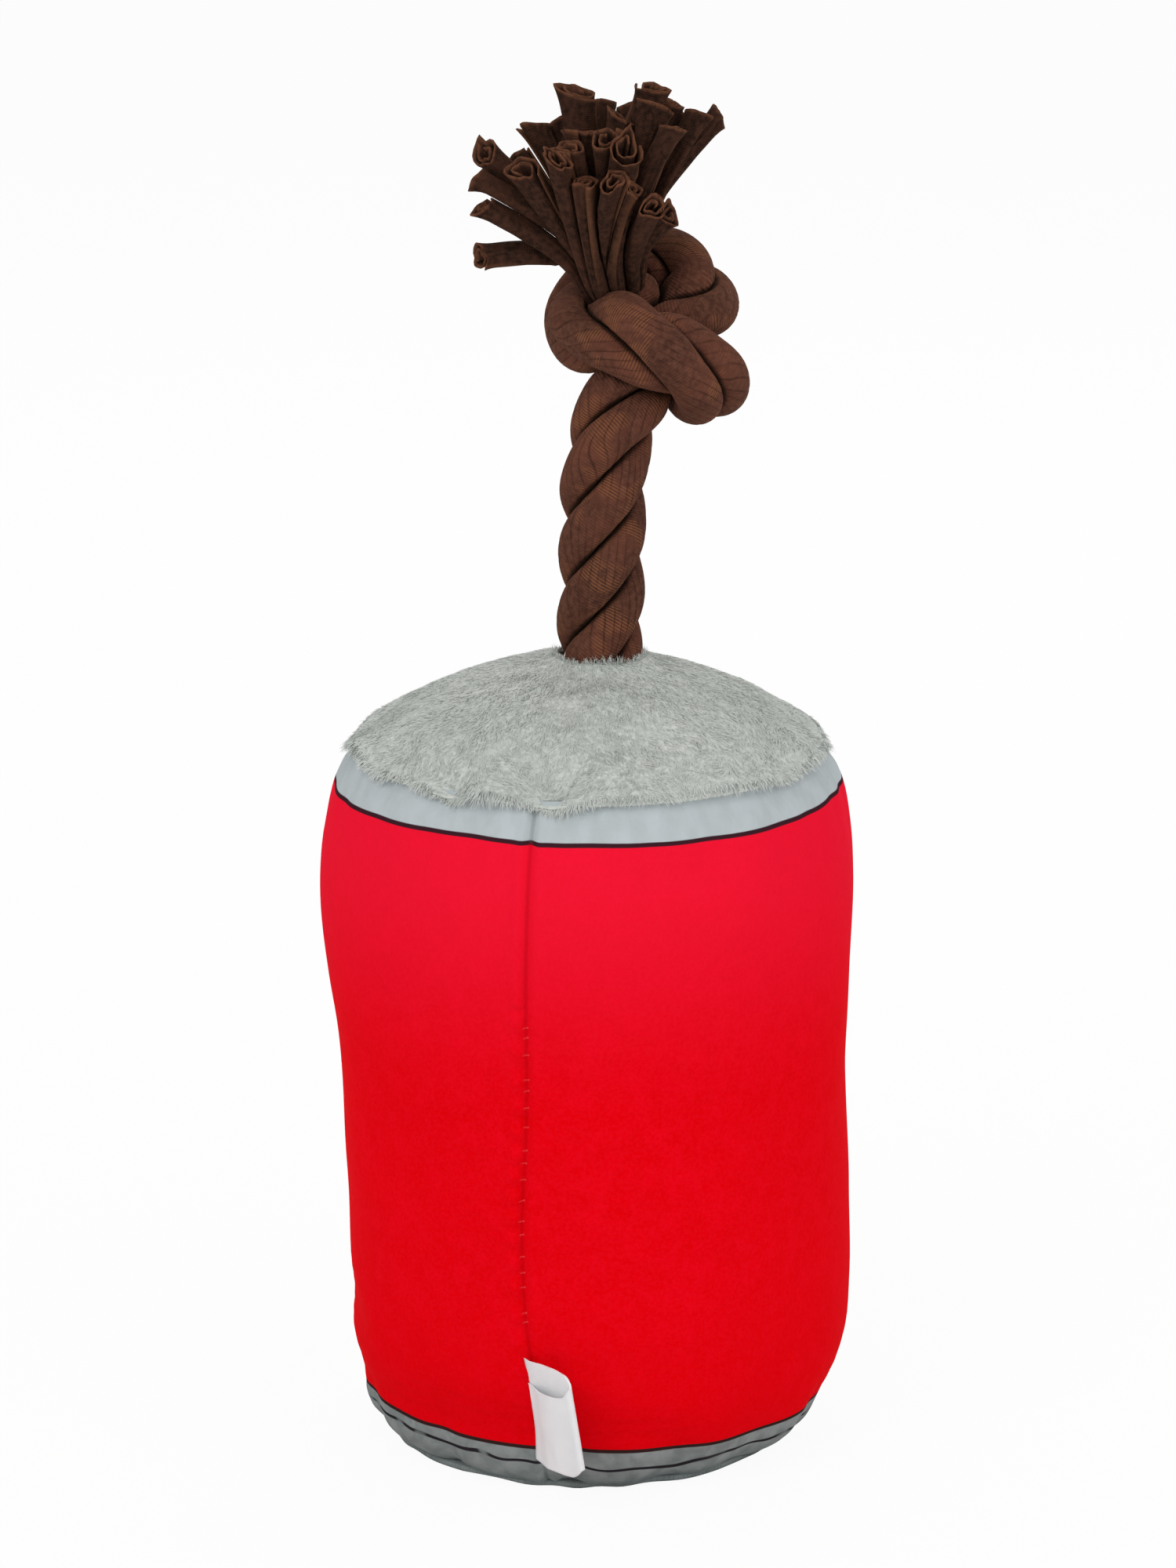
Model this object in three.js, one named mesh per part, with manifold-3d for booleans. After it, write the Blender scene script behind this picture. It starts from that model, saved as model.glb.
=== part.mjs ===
// Squeaky plush dog toy shaped like a drinks can, with a knotted rope handle.
// Millimetres, +Z up. The origin is on the floor under the middle of the toy.
// The side with the sewn back seam and the label faces -Y.

import * as THREE from "three";
import { mergeVertices } from "three/addons/utils/BufferGeometryUtils.js";
import Module from "manifold-3d";

const wasm = await Module();
wasm.setup();

// Stuffed body
const body_radius = 57.5;
const body_height = 154.3; // floor to the top seam
const cloth = 1.2; // thickness of the printed panel and of the base cloth
const plush = 1.6; // thickness of the plush top with its pile pressed flat
const fit_gap = 0.3; // between pieces that touch
const round_steps = 48;
const hole_steps = 24;

// The panel's outline from the floor up, as shares of height and of radius
const body_outline_shares = [
  [0.0, 0.79],
  [0.02, 0.845],
  [0.04, 0.872],
  [0.075, 0.903],
  [0.15, 0.948],
  [0.22, 0.958],
  [0.36, 0.958],
  [0.54, 0.96],
  [0.68, 0.983],
  [0.82, 1.0],
  [0.885, 0.988],
  [0.95, 0.953],
  [1.0, 0.892],
];

// Plush top
const dome_height = 19;
const dome_spread_power = 1.7;
const dome_edge_power = 0.85;
const dome_rings = 8;
const seam_allowance = 7; // turned down inside the top seam

// Rope
const rope_diameter = 19;
const knot_diameter = 18.4; // where nothing presses on it
const turn_gap = 0.8; // left between two turns that press each other flat
const turns_apart = 24; // two places on the rope are in separate turns past this length of it
const bend_fullness_share = 0.92; // how far a turn fills the inside of its own bend
const rope_sides = 12;
const knot_sides = 14;
const knot_steps = 90;
const press_samples = 300; // points that stand for the centre line
const end_samples = 12;
const stem_steps = 4;
const bend_steps = 4;
const base_bend_low = -3.6; // the rope flexes between these two heights
const base_bend_high = 10.4;
const neck_bend_low = 34.4;

// The rope's centre line, from its hidden end in the stuffing to the neck.
// All the rope's heights are measured from the crown of the plush top.
const stem_route = [
  [2.4, 0, -41.6],
  [2.4, 0, -21.6],
  [2.4, 0, -0.6],
  [2.8, -0.3, 16.4],
  [3.2, -0.6, 32.4],
  [4.2, -0.8, 45.4],
];

// The overhand knot, from the neck to the end that frays
const knot_route = [
  [4.2, -0.8, 45.4],
  [7, 0.8, 53.4],
  [11, 3.5, 60.9],
  [16, 6, 66.4],
  [21, 9, 70.7],
  [23.2, 14, 75.4],
  [17.2, 19.5, 79.5],
  [12.5, 23.5, 79.7],
  [7, 25, 76.4],
  [2, 22.5, 72.9],
  [-0.6, 16, 70],
  [-0.2, 8.5, 69.2],
  [3, 1.5, 70],
  [8, -4, 70.4],
  [14, -7.5, 68.4],
  [19.8, -6.8, 64.4],
  [24, -2.5, 60.6],
  [25, 4.5, 58.2],
  [23.2, 11, 58.2],
  [19, 15.5, 60.4],
  [14.5, 17.5, 64.4],
  [11, 16.8, 69.2],
  [8.7, 13.4, 73],
  [7.4, 10.4, 76.4],
];

// Frayed end: the rope's strips of jersey, splayed like a brush
const strip_reach = 40;
const strip_root_diameter = 1.7;
const strip_tip_diameter = 3.2;
const strip_sides = 6;
const strip_steps = 5;
const fan_root = [4.6, 5, 82.4];
const fan_root_diameter = 16; // the rope opens out again past the knot
const fan_tilt = 20; // degrees towards -Y
const fan_lean = -12; // degrees towards -X
const fan_phase = 5; // degrees
const golden_angle = 137.508; // degrees
const strip_rise_share = 0.25; // how far a strip rises before it splays

// Each strip's lean in degrees, sideways to +X and forward to -Y, and its share of the reach
const strip_leans = [
  [4, 8, 0.87], [-11, 12, 0.82], [-1, 25, 0.86], [14, -3, 1.03], [-52, 18, 0.91],
  [14, 11, 0.98], [-10, -5, 0.99], [-15, 26, 0.84], [20, -12, 0.97], [-46, 7, 0.95],
  [5, 29, 0.88], [7, -20, 0.89], [-34, 30, 0.85], [21, 22, 0.96], [-28, -10, 0.88],
  [2, 42, 0.78], [26, -22, 0.95], [-83, 30, 0.72], [20, 45, 0.64], [-2, -22, 0.94],
  [-19, 35, 0.9], [30, -4, 0.98], [-39, -8, 0.81], [10, 40, 0.7], [11, -34, 0.86],
  [-58, 25, 0.81], [38, 30, 0.52], [-21, -18, 0.84], [-12, 38, 0.73], [35, -14, 1.04],
];

// Squeaker: a blown bulb with a reed plug in its top
const bulb_radius = 23;
const bulb_height = 30;
const bulb_wall = 1;
const bulb_low = 62;
const bulb_corner = 5;
const plug_radius = 6;
const plug_wall = 1.8;
const plug_length = 12;
const plug_flange_radius = 8.5;
const plug_flange = 1.4;
const reed_length = 8;
const reed_width = 3.6;
const reed_thickness = 0.3;
const reed_clamped_length = 2.5;
const reed_channel_width = 2.6;
const reed_channel_depth = 1.8;

// Label: a ribbon folded in two, both ends sewn into the back seam
const label_length = 25; // along the seam
const label_width = 17; // from the seam to the fold
const label_ribbon = 0.5;
const label_inside = 0.6; // between the two layers
const label_low = 10.5;
const label_turn = 40; // degrees to the right of straight out
const label_rise_share = 0.15; // folded askew, its lower edge rises by this share of the reach
const label_fall_share = 0.12; // and its upper edge falls by this one
const label_stand_off = 0.9;
const label_fold_steps = 6;
const seam_turn = -13; // degrees round from -Y towards -X

// Threads
const seam_thread = 0.7;
const tack_thread = 0.9;
const thread_sides = 5;
const closing_low = 40; // the last stretch of the back seam is closed by hand
const closing_high = 112;
const closing_stitch = 4;
const closing_reach = 1.2;

const red_print = { color: 0xe60317, roughness: 0.85, metalness: 0 };
const grey_plush = { color: 0xaab0ab, roughness: 0.95, metalness: 0 };
const grey_cloth = { color: 0x858d8d, roughness: 0.9, metalness: 0 };
const brown_cotton = { color: 0x4a2d22, roughness: 0.95, metalness: 0 };
const white_fibre = { color: 0xf2f1ec, roughness: 1, metalness: 0 };
const milky_plastic = { color: 0xe6e8ea, roughness: 0.4, metalness: 0 };
const white_plastic = { color: 0xf5f5f2, roughness: 0.35, metalness: 0 };
const clear_film = { color: 0xd6dcdf, roughness: 0.2, metalness: 0 };
const white_ribbon = { color: 0xe2e4e6, roughness: 0.7, metalness: 0 };
const grey_thread = { color: 0x7c8484, roughness: 0.8, metalness: 0 };
const red_thread = { color: 0xb80c1c, roughness: 0.8, metalness: 0 };
const brown_thread = { color: 0x3b241b, roughness: 0.8, metalness: 0 };

const toy = new THREE.Group();
const radians = THREE.MathUtils.degToRad;

function add(name, geometry, look, parent = toy) {
  const mesh = new THREE.Mesh(geometry, new THREE.MeshStandardMaterial(look));
  mesh.name = name;
  parent.add(mesh);
  return mesh;
}

// A turned solid about +Z from [radius, height] points, given either way round
function turned(points, steps = round_steps) {
  const profile = points.map(([radius, height]) => new THREE.Vector2(radius, height));
  if (THREE.ShapeUtils.area(profile) < 0) profile.reverse();
  return new THREE.LatheGeometry(profile, steps).rotateX(Math.PI / 2);
}

// A flat ring of thread lying level round +Z
function threadRing(radius, thread, height) {
  return new THREE.TorusGeometry(radius, thread / 2, thread_sides, round_steps).translate(0, 0, height);
}

function upright(radius, low, high) {
  const cylinder = new THREE.CylinderGeometry(radius, radius, high - low, hole_steps);
  return cylinder.rotateX(Math.PI / 2).translate(0, 0, (low + high) / 2);
}

function curveThrough(points) {
  const places = points.map((point) => new THREE.Vector3(...point));
  return new THREE.CatmullRomCurve3(places, false, "centripetal");
}

function roundSection(radius, sides) {
  const section = new THREE.Shape();
  for (let i = 0; i < sides; i++) {
    const angle = (2 * Math.PI * i) / sides;
    const x = radius * Math.cos(angle);
    const y = radius * Math.sin(angle);
    if (i === 0) section.moveTo(x, y);
    else section.lineTo(x, y);
  }
  section.closePath();
  return section;
}

// A tube along a curve. Where its radius varies, radiusAt gives it for a share of the
// length, the station on the centre line and the way outward from there.
function tube(curve, diameter, sides, steps, radiusAt) {
  const radius = diameter / 2;
  const section = roundSection(radius, sides);
  const geometry = new THREE.ExtrudeGeometry(section, { steps, extrudePath: curve });
  if (!radiusAt) return geometry;
  const stations = curve.getSpacedPoints(steps);
  const ways = stations.map((station, k) => curve.getTangentAt(k / steps));
  const place = geometry.attributes.position;
  const point = new THREE.Vector3();
  for (let i = 0; i < place.count; i++) {
    point.fromBufferAttribute(place, i);
    // The vertex belongs to the station whose section it lies in
    const misses = stations.map((station, k) => {
      const offset = point.clone().sub(station);
      return Math.abs(offset.dot(ways[k])) + Math.abs(offset.length() - radius);
    });
    const own = misses.indexOf(Math.min(...misses));
    const outward = point.clone().sub(stations[own]).normalize();
    const reach = radiusAt(own / steps, stations[own], outward);
    point.copy(stations[own]).addScaledVector(outward, reach);
    place.setXYZ(i, point.x, point.y, point.z);
  }
  return geometry;
}

function tapered(start_diameter, end_diameter) {
  return (share) => THREE.MathUtils.lerp(start_diameter, end_diameter, share) / 2;
}

function solid(geometry) {
  const bare = geometry.clone();
  bare.deleteAttribute("normal");
  bare.deleteAttribute("uv");
  const joined = mergeVertices(bare);
  const mesh = new wasm.Mesh({
    numProp: 3,
    vertProperties: new Float32Array(joined.attributes.position.array),
    triVerts: new Uint32Array(joined.index.array),
  });
  return new wasm.Manifold(mesh);
}

function cut(geometry, ...cutters) {
  const mesh = cutters.reduce((body, cutter) => body.subtract(solid(cutter)), solid(geometry)).getMesh();
  const result = new THREE.BufferGeometry();
  result.setAttribute("position", new THREE.BufferAttribute(mesh.vertProperties, 3));
  result.setIndex(new THREE.BufferAttribute(mesh.triVerts, 1));
  return result;
}

// The stuffed body's outline, smooth through its points
const outline_points = body_outline_shares.map(
  ([height, radius]) => new THREE.Vector2(height * body_height, radius * body_radius),
);
const outline_samples = new THREE.SplineCurve(outline_points).getPoints(outline_points.length * 12);

function bodyRadius(height) {
  const last = outline_samples.length - 1;
  let i = 1;
  while (i < last && outline_samples[i].x < height) i++;
  const low = outline_samples[i - 1];
  const high = outline_samples[i];
  return THREE.MathUtils.mapLinear(height, low.x, high.x, low.y, high.y);
}

const seam_radius = bodyRadius(body_height);

function domeHeight(radius) {
  const share = Math.min(radius / seam_radius, 1);
  return body_height + fit_gap + dome_height * (1 - share ** dome_spread_power) ** dome_edge_power;
}

// Outline heights between two levels, with the levels themselves at the ends
function levels(low, high) {
  const between = outline_points.map((point) => point.x).filter((height) => height > low && height < high);
  return [low, ...between, high];
}

// Points on a surface inside the panel, from the low level to the high one
function wallInside(low, high, inset) {
  return levels(low, high).map((height) => [bodyRadius(height) - inset, height]);
}

const crown_height = body_height + fit_gap + dome_height;
const rope_foot = stem_route[0];
const rope_foot_height = crown_height + rope_foot[2];

function ropeHole(clearance, low) {
  const high = body_height + dome_height * 2;
  return upright(rope_diameter / 2 + clearance, low, high).translate(rope_foot[0], rope_foot[1], 0);
}

// Sewn covers
const skirt_outside = seam_radius - cloth - fit_gap;
const skirt_inside = skirt_outside - plush;
const skirt_low = body_height - seam_allowance;

function domeSurface(radius_limit, inset) {
  const points = [];
  for (let i = 0; i <= dome_rings; i++) {
    const radius = (radius_limit * i) / dome_rings;
    points.push([radius, domeHeight(radius) - inset]);
  }
  return points;
}

const panel_outside = wallInside(0, body_height, 0);
const panel_inside = wallInside(0, body_height, cloth).reverse();
add("wrap_panel", turned([...panel_outside, ...panel_inside, panel_outside[0]]), red_print);

const base_radius = bodyRadius(0) - cloth - fit_gap;
add("base_cloth", turned([[0, 0], [base_radius, 0], [base_radius, cloth], [0, cloth]]), grey_cloth);

const top_profile = [
  ...domeSurface(seam_radius, 0),
  [skirt_outside, body_height + fit_gap],
  [skirt_outside, skirt_low],
  [skirt_inside, skirt_low],
  ...domeSurface(skirt_inside, plush).reverse(),
];
add("top_plush", cut(turned(top_profile), ropeHole(fit_gap, rope_foot_height)), grey_plush);

// Threads of the two round seams, on the inner side of the turned-in allowances
const seam_thread_room = fit_gap + seam_thread / 2;
const top_thread_radius = skirt_inside - seam_thread_room;
const top_thread_height = body_height - seam_allowance / 2;
const base_thread_radius = base_radius - seam_allowance / 2;
const base_thread_height = cloth + seam_thread_room;
add("top_seam_thread", threadRing(top_thread_radius, seam_thread, top_thread_height), grey_thread);
add("base_seam_thread", threadRing(base_thread_radius, seam_thread, base_thread_height), grey_thread);

// Fibre filling, packed in two wads round the squeaker
const stuffing_low = base_thread_height + seam_thread_room;
const stuffing_split = bulb_low + bulb_height / 2;
const stuffing_inset = cloth + fit_gap;
const pocket_radius = bulb_radius + fit_gap;
const bulb_high = bulb_low + bulb_height;
const plug_high = bulb_high + fit_gap + plug_flange;

const lower_profile = [
  [0, stuffing_low],
  ...wallInside(stuffing_low, stuffing_split - fit_gap / 2, stuffing_inset),
  [pocket_radius, stuffing_split - fit_gap / 2],
  [pocket_radius, bulb_low - fit_gap],
  [0, bulb_low - fit_gap],
];
add("lower_stuffing", turned(lower_profile), white_fibre);

const crown_radius = top_thread_radius - seam_thread_room;
const crown_inset = plush + fit_gap;
const upper_profile = [
  [0, plug_high + fit_gap],
  [plug_flange_radius + fit_gap, plug_high + fit_gap],
  [plug_flange_radius + fit_gap, bulb_high + fit_gap],
  [pocket_radius, bulb_high + fit_gap],
  [pocket_radius, stuffing_split + fit_gap / 2],
  ...wallInside(stuffing_split + fit_gap / 2, skirt_low - fit_gap, stuffing_inset),
  [crown_radius, skirt_low - fit_gap],
  ...domeSurface(crown_radius, crown_inset).reverse(),
];
const tack_height = domeHeight(rope_diameter / 2 + tack_thread) - crown_inset - tack_thread;
const tack_radius = rope_diameter / 2 + fit_gap + tack_thread / 2;
add(
  "upper_stuffing",
  cut(
    turned(upper_profile),
    ropeHole(fit_gap, rope_foot_height - fit_gap),
    ropeHole(tack_thread + 2 * fit_gap, tack_height - tack_thread),
  ),
  white_fibre,
);

// Squeaker
const bulb_skin = [
  [0, 0],
  [bulb_radius - bulb_corner, 0],
  [bulb_radius - bulb_corner / 3, bulb_corner / 3],
  [bulb_radius, bulb_corner],
  [bulb_radius, bulb_height - bulb_corner],
  [bulb_radius - bulb_corner / 3, bulb_height - bulb_corner / 3],
  [bulb_radius - bulb_corner, bulb_height],
];
const bulb_mouth = plug_radius + fit_gap;
const bulb_shrink = (bulb_height - 2 * bulb_wall) / bulb_height;
const bulb_lining = bulb_skin.map(([radius, height]) => [
  Math.max(radius - bulb_wall, 0),
  height * bulb_shrink + bulb_wall,
]);
const bulb_profile = [
  ...bulb_skin,
  [bulb_mouth, bulb_height],
  [bulb_mouth, bulb_height - bulb_wall],
  ...bulb_lining.reverse(),
];
add("squeaker_bulb", turned(bulb_profile, hole_steps).translate(0, 0, bulb_low), milky_plastic);

const plug_bore = plug_radius - plug_wall;
const plug_low = bulb_high + fit_gap - plug_length;
const plug_profile = [
  [plug_bore, plug_low],
  [plug_radius, plug_low],
  [plug_radius, bulb_high + fit_gap],
  [plug_flange_radius, bulb_high + fit_gap],
  [plug_flange_radius, plug_high],
  [plug_bore, plug_high],
  [plug_bore, plug_low],
];
add("reed_plug", turned(plug_profile, hole_steps), white_plastic);

// The reed lies between a long channelled half and a short clamping half in the plug's bore
const half_radius = plug_bore - fit_gap;
const reed_face = fit_gap + reed_thickness / 2;
const reed_high = plug_high - plug_flange;
const reed_low = reed_high - reed_length;
const half_block = (depth, low, high) =>
  new THREE.BoxGeometry(plug_radius * 2, depth, high - low).translate(0, 0, (low + high) / 2);

const seat_low = reed_low - fit_gap;
const seat_waste = half_block(plug_radius, seat_low - plug_length, plug_high);
seat_waste.translate(0, reed_face - plug_radius / 2, 0);
const channel_high = reed_high - reed_clamped_length;
const channel = new THREE.BoxGeometry(reed_channel_width, reed_channel_depth * 2, plug_length);
channel.translate(0, reed_face, channel_high - plug_length / 2);
add("reed_seat", cut(upright(half_radius, seat_low, reed_high), seat_waste, channel), white_plastic);

const clamp_low = reed_high - reed_clamped_length;
const clamp_waste = half_block(plug_radius, clamp_low - plug_length, plug_high);
clamp_waste.translate(0, plug_radius / 2 - reed_face, 0);
add("reed_clamp", cut(upright(half_radius, clamp_low, reed_high), clamp_waste), white_plastic);

const reed = new THREE.BoxGeometry(reed_width, reed_thickness, reed_length);
add("reed_tongue", reed.translate(0, 0, (reed_low + reed_high) / 2), clear_film);

// A stretch of a longer curve, between two shares of its length
class Stretch extends THREE.Curve {
  constructor(whole, start, end) {
    super();
    this.whole = whole;
    this.start = start;
    this.end = end;
  }
  getPoint(share) {
    return this.whole.getPointAt(THREE.MathUtils.lerp(this.start, this.end, share));
  }
}

// Rope, in the lengths that lie between its bends
const rope_group = new THREE.Group();
rope_group.position.z = crown_height;
toy.add(rope_group);
const rope_curve = curveThrough([...stem_route, ...knot_route.slice(1)]);
rope_curve.arcLengthDivisions = 1200;
const rope_length = rope_curve.getLength();
const neck = knot_route[0];

// The share of the rope's length at which it first reaches a height
function shareAt(height) {
  const shares = rope_curve.getLengths().map((length) => length / rope_length);
  return shares.find((share) => rope_curve.getPointAt(share).z >= height);
}

function ropeStretch(start, end) {
  const half_gap = fit_gap / 2 / rope_length;
  return new Stretch(rope_curve, start + half_gap, end - half_gap);
}

const base_bend_start = shareAt(base_bend_low);
const stem_start = shareAt(base_bend_high);
const neck_bend_start = shareAt(neck_bend_low);
const knot_start = shareAt(neck[2]);
const knot_curve = ropeStretch(knot_start, 1);

const tail_curve = ropeStretch(0, base_bend_start);
const base_curve = ropeStretch(base_bend_start, stem_start);
const stem_curve = ropeStretch(stem_start, neck_bend_start);
const neck_curve = ropeStretch(neck_bend_start, knot_start);

// The frayed end's own frame, and the bend that leads up to it
const fan_middle = new THREE.Vector3(
  Math.sin(radians(fan_lean)),
  -Math.sin(radians(fan_tilt)) * Math.cos(radians(fan_lean)),
  Math.cos(radians(fan_tilt)) * Math.cos(radians(fan_lean)),
);
const fan_across = new THREE.Vector3(1, 0, 0).addScaledVector(fan_middle, -fan_middle.x).normalize();
const fan_fore = new THREE.Vector3().crossVectors(fan_middle, fan_across);
const fan_place = new THREE.Vector3(...fan_root);

const rope_end = knot_curve.getPoint(1);
const rope_end_way = knot_curve.getTangent(1);
const fan_start = fan_place.clone().addScaledVector(fan_middle, -fit_gap);
const end_length = fan_start.distanceTo(rope_end);
const end_curve = new THREE.CubicBezierCurve3(
  rope_end.clone().addScaledVector(rope_end_way, fit_gap),
  rope_end.clone().addScaledVector(rope_end_way, end_length / 3),
  fan_start.clone().addScaledVector(fan_middle, -end_length / 3),
  fan_start,
);

// The whole centre line as points, each with its distance along the rope
const centre_line = [
  ...rope_curve.getSpacedPoints(press_samples).map((place, k) => ({
    place,
    along: (rope_length * k) / press_samples,
  })),
  ...end_curve.getSpacedPoints(end_samples).map((place, k) => ({
    place,
    along: rope_length + (end_curve.getLength() * k) / end_samples,
  })),
];

function placeAlong(station) {
  const distances = centre_line.map(({ place }) => place.distanceTo(station));
  return centre_line[distances.indexOf(Math.min(...distances))].along;
}

// The rope's turns press each other flat: no part of the surface passes the middle between
// its own place on the centre line and any other
function pressed(start_diameter, end_diameter) {
  const free = tapered(start_diameter, end_diameter);
  return (share, station, outward) => {
    const here = placeAlong(station);
    let reach = free(share);
    for (const { place, along } of centre_line) {
      const apart = Math.abs(along - here);
      if (apart < knot_diameter / 4) continue;
      const across = place.clone().sub(station);
      const distance = across.length();
      const facing = across.dot(outward) / distance;
      if (facing <= 0) continue;
      const room = apart > turns_apart ? (distance - turn_gap) / 2 : (distance / 2) * bend_fullness_share;
      reach = Math.min(reach, room / facing);
    }
    return reach;
  };
}

function addRope(name, curve, start_diameter, end_diameter, sides, steps) {
  const geometry = tube(curve, start_diameter, sides, steps, pressed(start_diameter, end_diameter));
  add(name, geometry, brown_cotton, rope_group);
  return geometry;
}

addRope("rope_tail", tail_curve, rope_diameter, rope_diameter, rope_sides, stem_steps);
addRope("rope_base_bend", base_curve, rope_diameter, rope_diameter, rope_sides, bend_steps);
addRope("rope_stem", stem_curve, rope_diameter, rope_diameter, rope_sides, stem_steps);
addRope("rope_neck_bend", neck_curve, rope_diameter, knot_diameter, rope_sides, bend_steps);
const knot = addRope("rope_knot", knot_curve, knot_diameter, knot_diameter, knot_sides, knot_steps);
addRope("rope_end_bend", end_curve, knot_diameter, fan_root_diameter, rope_sides, bend_steps);

// Least gap between two turns of the knot, from each corner of its surface to each triangle
function leastGap(geometry) {
  const place = geometry.attributes.position;
  const triangles = [];
  for (let i = 0; i < place.count; i += 3) {
    const triangle = new THREE.Triangle();
    triangle.setFromAttributeAndIndices(place, i, i + 1, i + 2);
    const middle = triangle.getMidpoint(new THREE.Vector3());
    triangles.push({ triangle, middle, along: placeAlong(middle) });
  }
  const nearest = new THREE.Vector3();
  let least = Infinity;
  for (const { triangle: own, along: here } of triangles) {
    for (const { triangle, middle, along } of triangles) {
      if (Math.abs(along - here) < turns_apart) continue;
      if (own.a.distanceTo(middle) > knot_diameter / 2) continue;
      triangle.closestPointToPoint(own.a, nearest);
      least = Math.min(least, own.a.distanceTo(nearest));
    }
  }
  return least;
}

console.log("knot length", knot_curve.getLength().toFixed(1), "mm");
console.log("least gap in the knot", leastGap(knot).toFixed(2), "mm");

const tack_ring = threadRing(tack_radius, tack_thread, tack_height);
add("rope_tack_thread", tack_ring.translate(rope_foot[0], rope_foot[1], 0), brown_thread);

// Frayed end
const strip_root_ring = (fan_root_diameter - strip_root_diameter) / 2;

strip_leans.forEach(([to_side, to_front, reach_share], i) => {
  const ring = Math.sqrt((i + 0.5) / strip_leans.length);
  const round = radians(golden_angle * i + fan_phase);
  const root = fan_place
    .clone()
    .addScaledVector(fan_across, strip_root_ring * ring * Math.cos(round))
    .addScaledVector(fan_fore, strip_root_ring * ring * Math.sin(round));
  const reach = strip_reach * reach_share;
  const way = new THREE.Vector3(
    Math.sin(radians(to_side)),
    -Math.cos(radians(to_side)) * Math.sin(radians(to_front)),
    Math.cos(radians(to_side)) * Math.cos(radians(to_front)),
  );
  const knee = root.clone().addScaledVector(fan_middle, reach * strip_rise_share);
  const tip = fan_place.clone().addScaledVector(way, reach);
  const path = new THREE.QuadraticBezierCurve3(root, knee, tip);
  const name = "tassel_strip_" + String(i + 1).padStart(2, "0");
  const widening = tapered(strip_root_diameter, strip_tip_diameter);
  add(name, tube(path, strip_root_diameter, strip_sides, strip_steps, widening), brown_cotton, rope_group);
});

// Label, in a group that stands on the seam line
const seam_out = new THREE.Vector3(Math.sin(radians(seam_turn)), -Math.cos(radians(seam_turn)), 0);

function seamPlace(height, stand_off) {
  return seam_out.clone().multiplyScalar(bodyRadius(height) + stand_off).setZ(height);
}

const label_high = label_low + label_length;
const label_foot = seamPlace(label_low, 0);
const label_head = seamPlace(label_high, 0);
let seam_bulge = 0;
for (const height of levels(label_low, label_high)) {
  const share = (height - label_low) / label_length;
  const chord = THREE.MathUtils.lerp(bodyRadius(label_low), bodyRadius(label_high), share);
  seam_bulge = Math.max(seam_bulge, bodyRadius(height) - chord);
}
const along = label_head.clone().sub(label_foot).normalize();
const out = new THREE.Vector3(Math.sin(radians(label_turn)), -Math.cos(radians(label_turn)), 0);
out.addScaledVector(along, -out.dot(along)).normalize();
const side = new THREE.Vector3().crossVectors(along, out);

const label_group = new THREE.Group();
label_group.applyMatrix4(new THREE.Matrix4().makeBasis(out, side, along));
label_group.position.copy(label_foot).addScaledVector(seam_out, seam_bulge + label_stand_off);
toy.add(label_group);

const fold_inside = label_inside / 2;
const fold_outside = fold_inside + label_ribbon;
const fold_centre = label_width - fold_outside;

function foldArc(radius) {
  const points = [];
  for (let i = 0; i <= label_fold_steps; i++) {
    const angle = -Math.PI / 2 + (Math.PI * i) / label_fold_steps;
    points.push(new THREE.Vector2(fold_centre + radius * Math.cos(angle), radius * Math.sin(angle)));
  }
  return points;
}

const label_section = new THREE.Shape([
  new THREE.Vector2(0, -fold_outside),
  ...foldArc(fold_outside),
  new THREE.Vector2(0, fold_outside),
  new THREE.Vector2(0, fold_inside),
  ...foldArc(fold_inside).reverse(),
  new THREE.Vector2(0, -fold_inside),
]);
const label_solid = new THREE.ExtrudeGeometry(label_section, { depth: label_length, bevelEnabled: false });
const label_places = label_solid.attributes.position;
for (let i = 0; i < label_places.count; i++) {
  const height = label_places.getZ(i);
  const slope = THREE.MathUtils.lerp(label_rise_share, -label_fall_share, height / label_length);
  label_places.setZ(i, height + label_places.getX(i) * slope);
}
add("care_label", label_solid, white_ribbon, label_group);

// Ladder stitch that closes the back seam after stuffing
const closing_points = [];
const closing_count = Math.round((closing_high - closing_low) / closing_stitch) * 2;
for (let i = 0; i <= closing_count; i++) {
  const height = THREE.MathUtils.lerp(closing_low, closing_high, i / closing_count);
  const place = seamPlace(height, seam_thread_room);
  const sideways = new THREE.Vector3(-seam_out.y, seam_out.x, 0);
  closing_points.push(place.addScaledVector(sideways, i % 2 === 0 ? closing_reach : -closing_reach).toArray());
}
const closing_curve = curveThrough(closing_points);
add("closing_thread", tube(closing_curve, seam_thread, 4, closing_count * 2), red_thread);

export default toy;
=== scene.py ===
# Looks of the squeaky plush dog toy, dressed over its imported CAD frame.
# Metres, +Z up. The side with the back seam and the label faces -Y.

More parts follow.
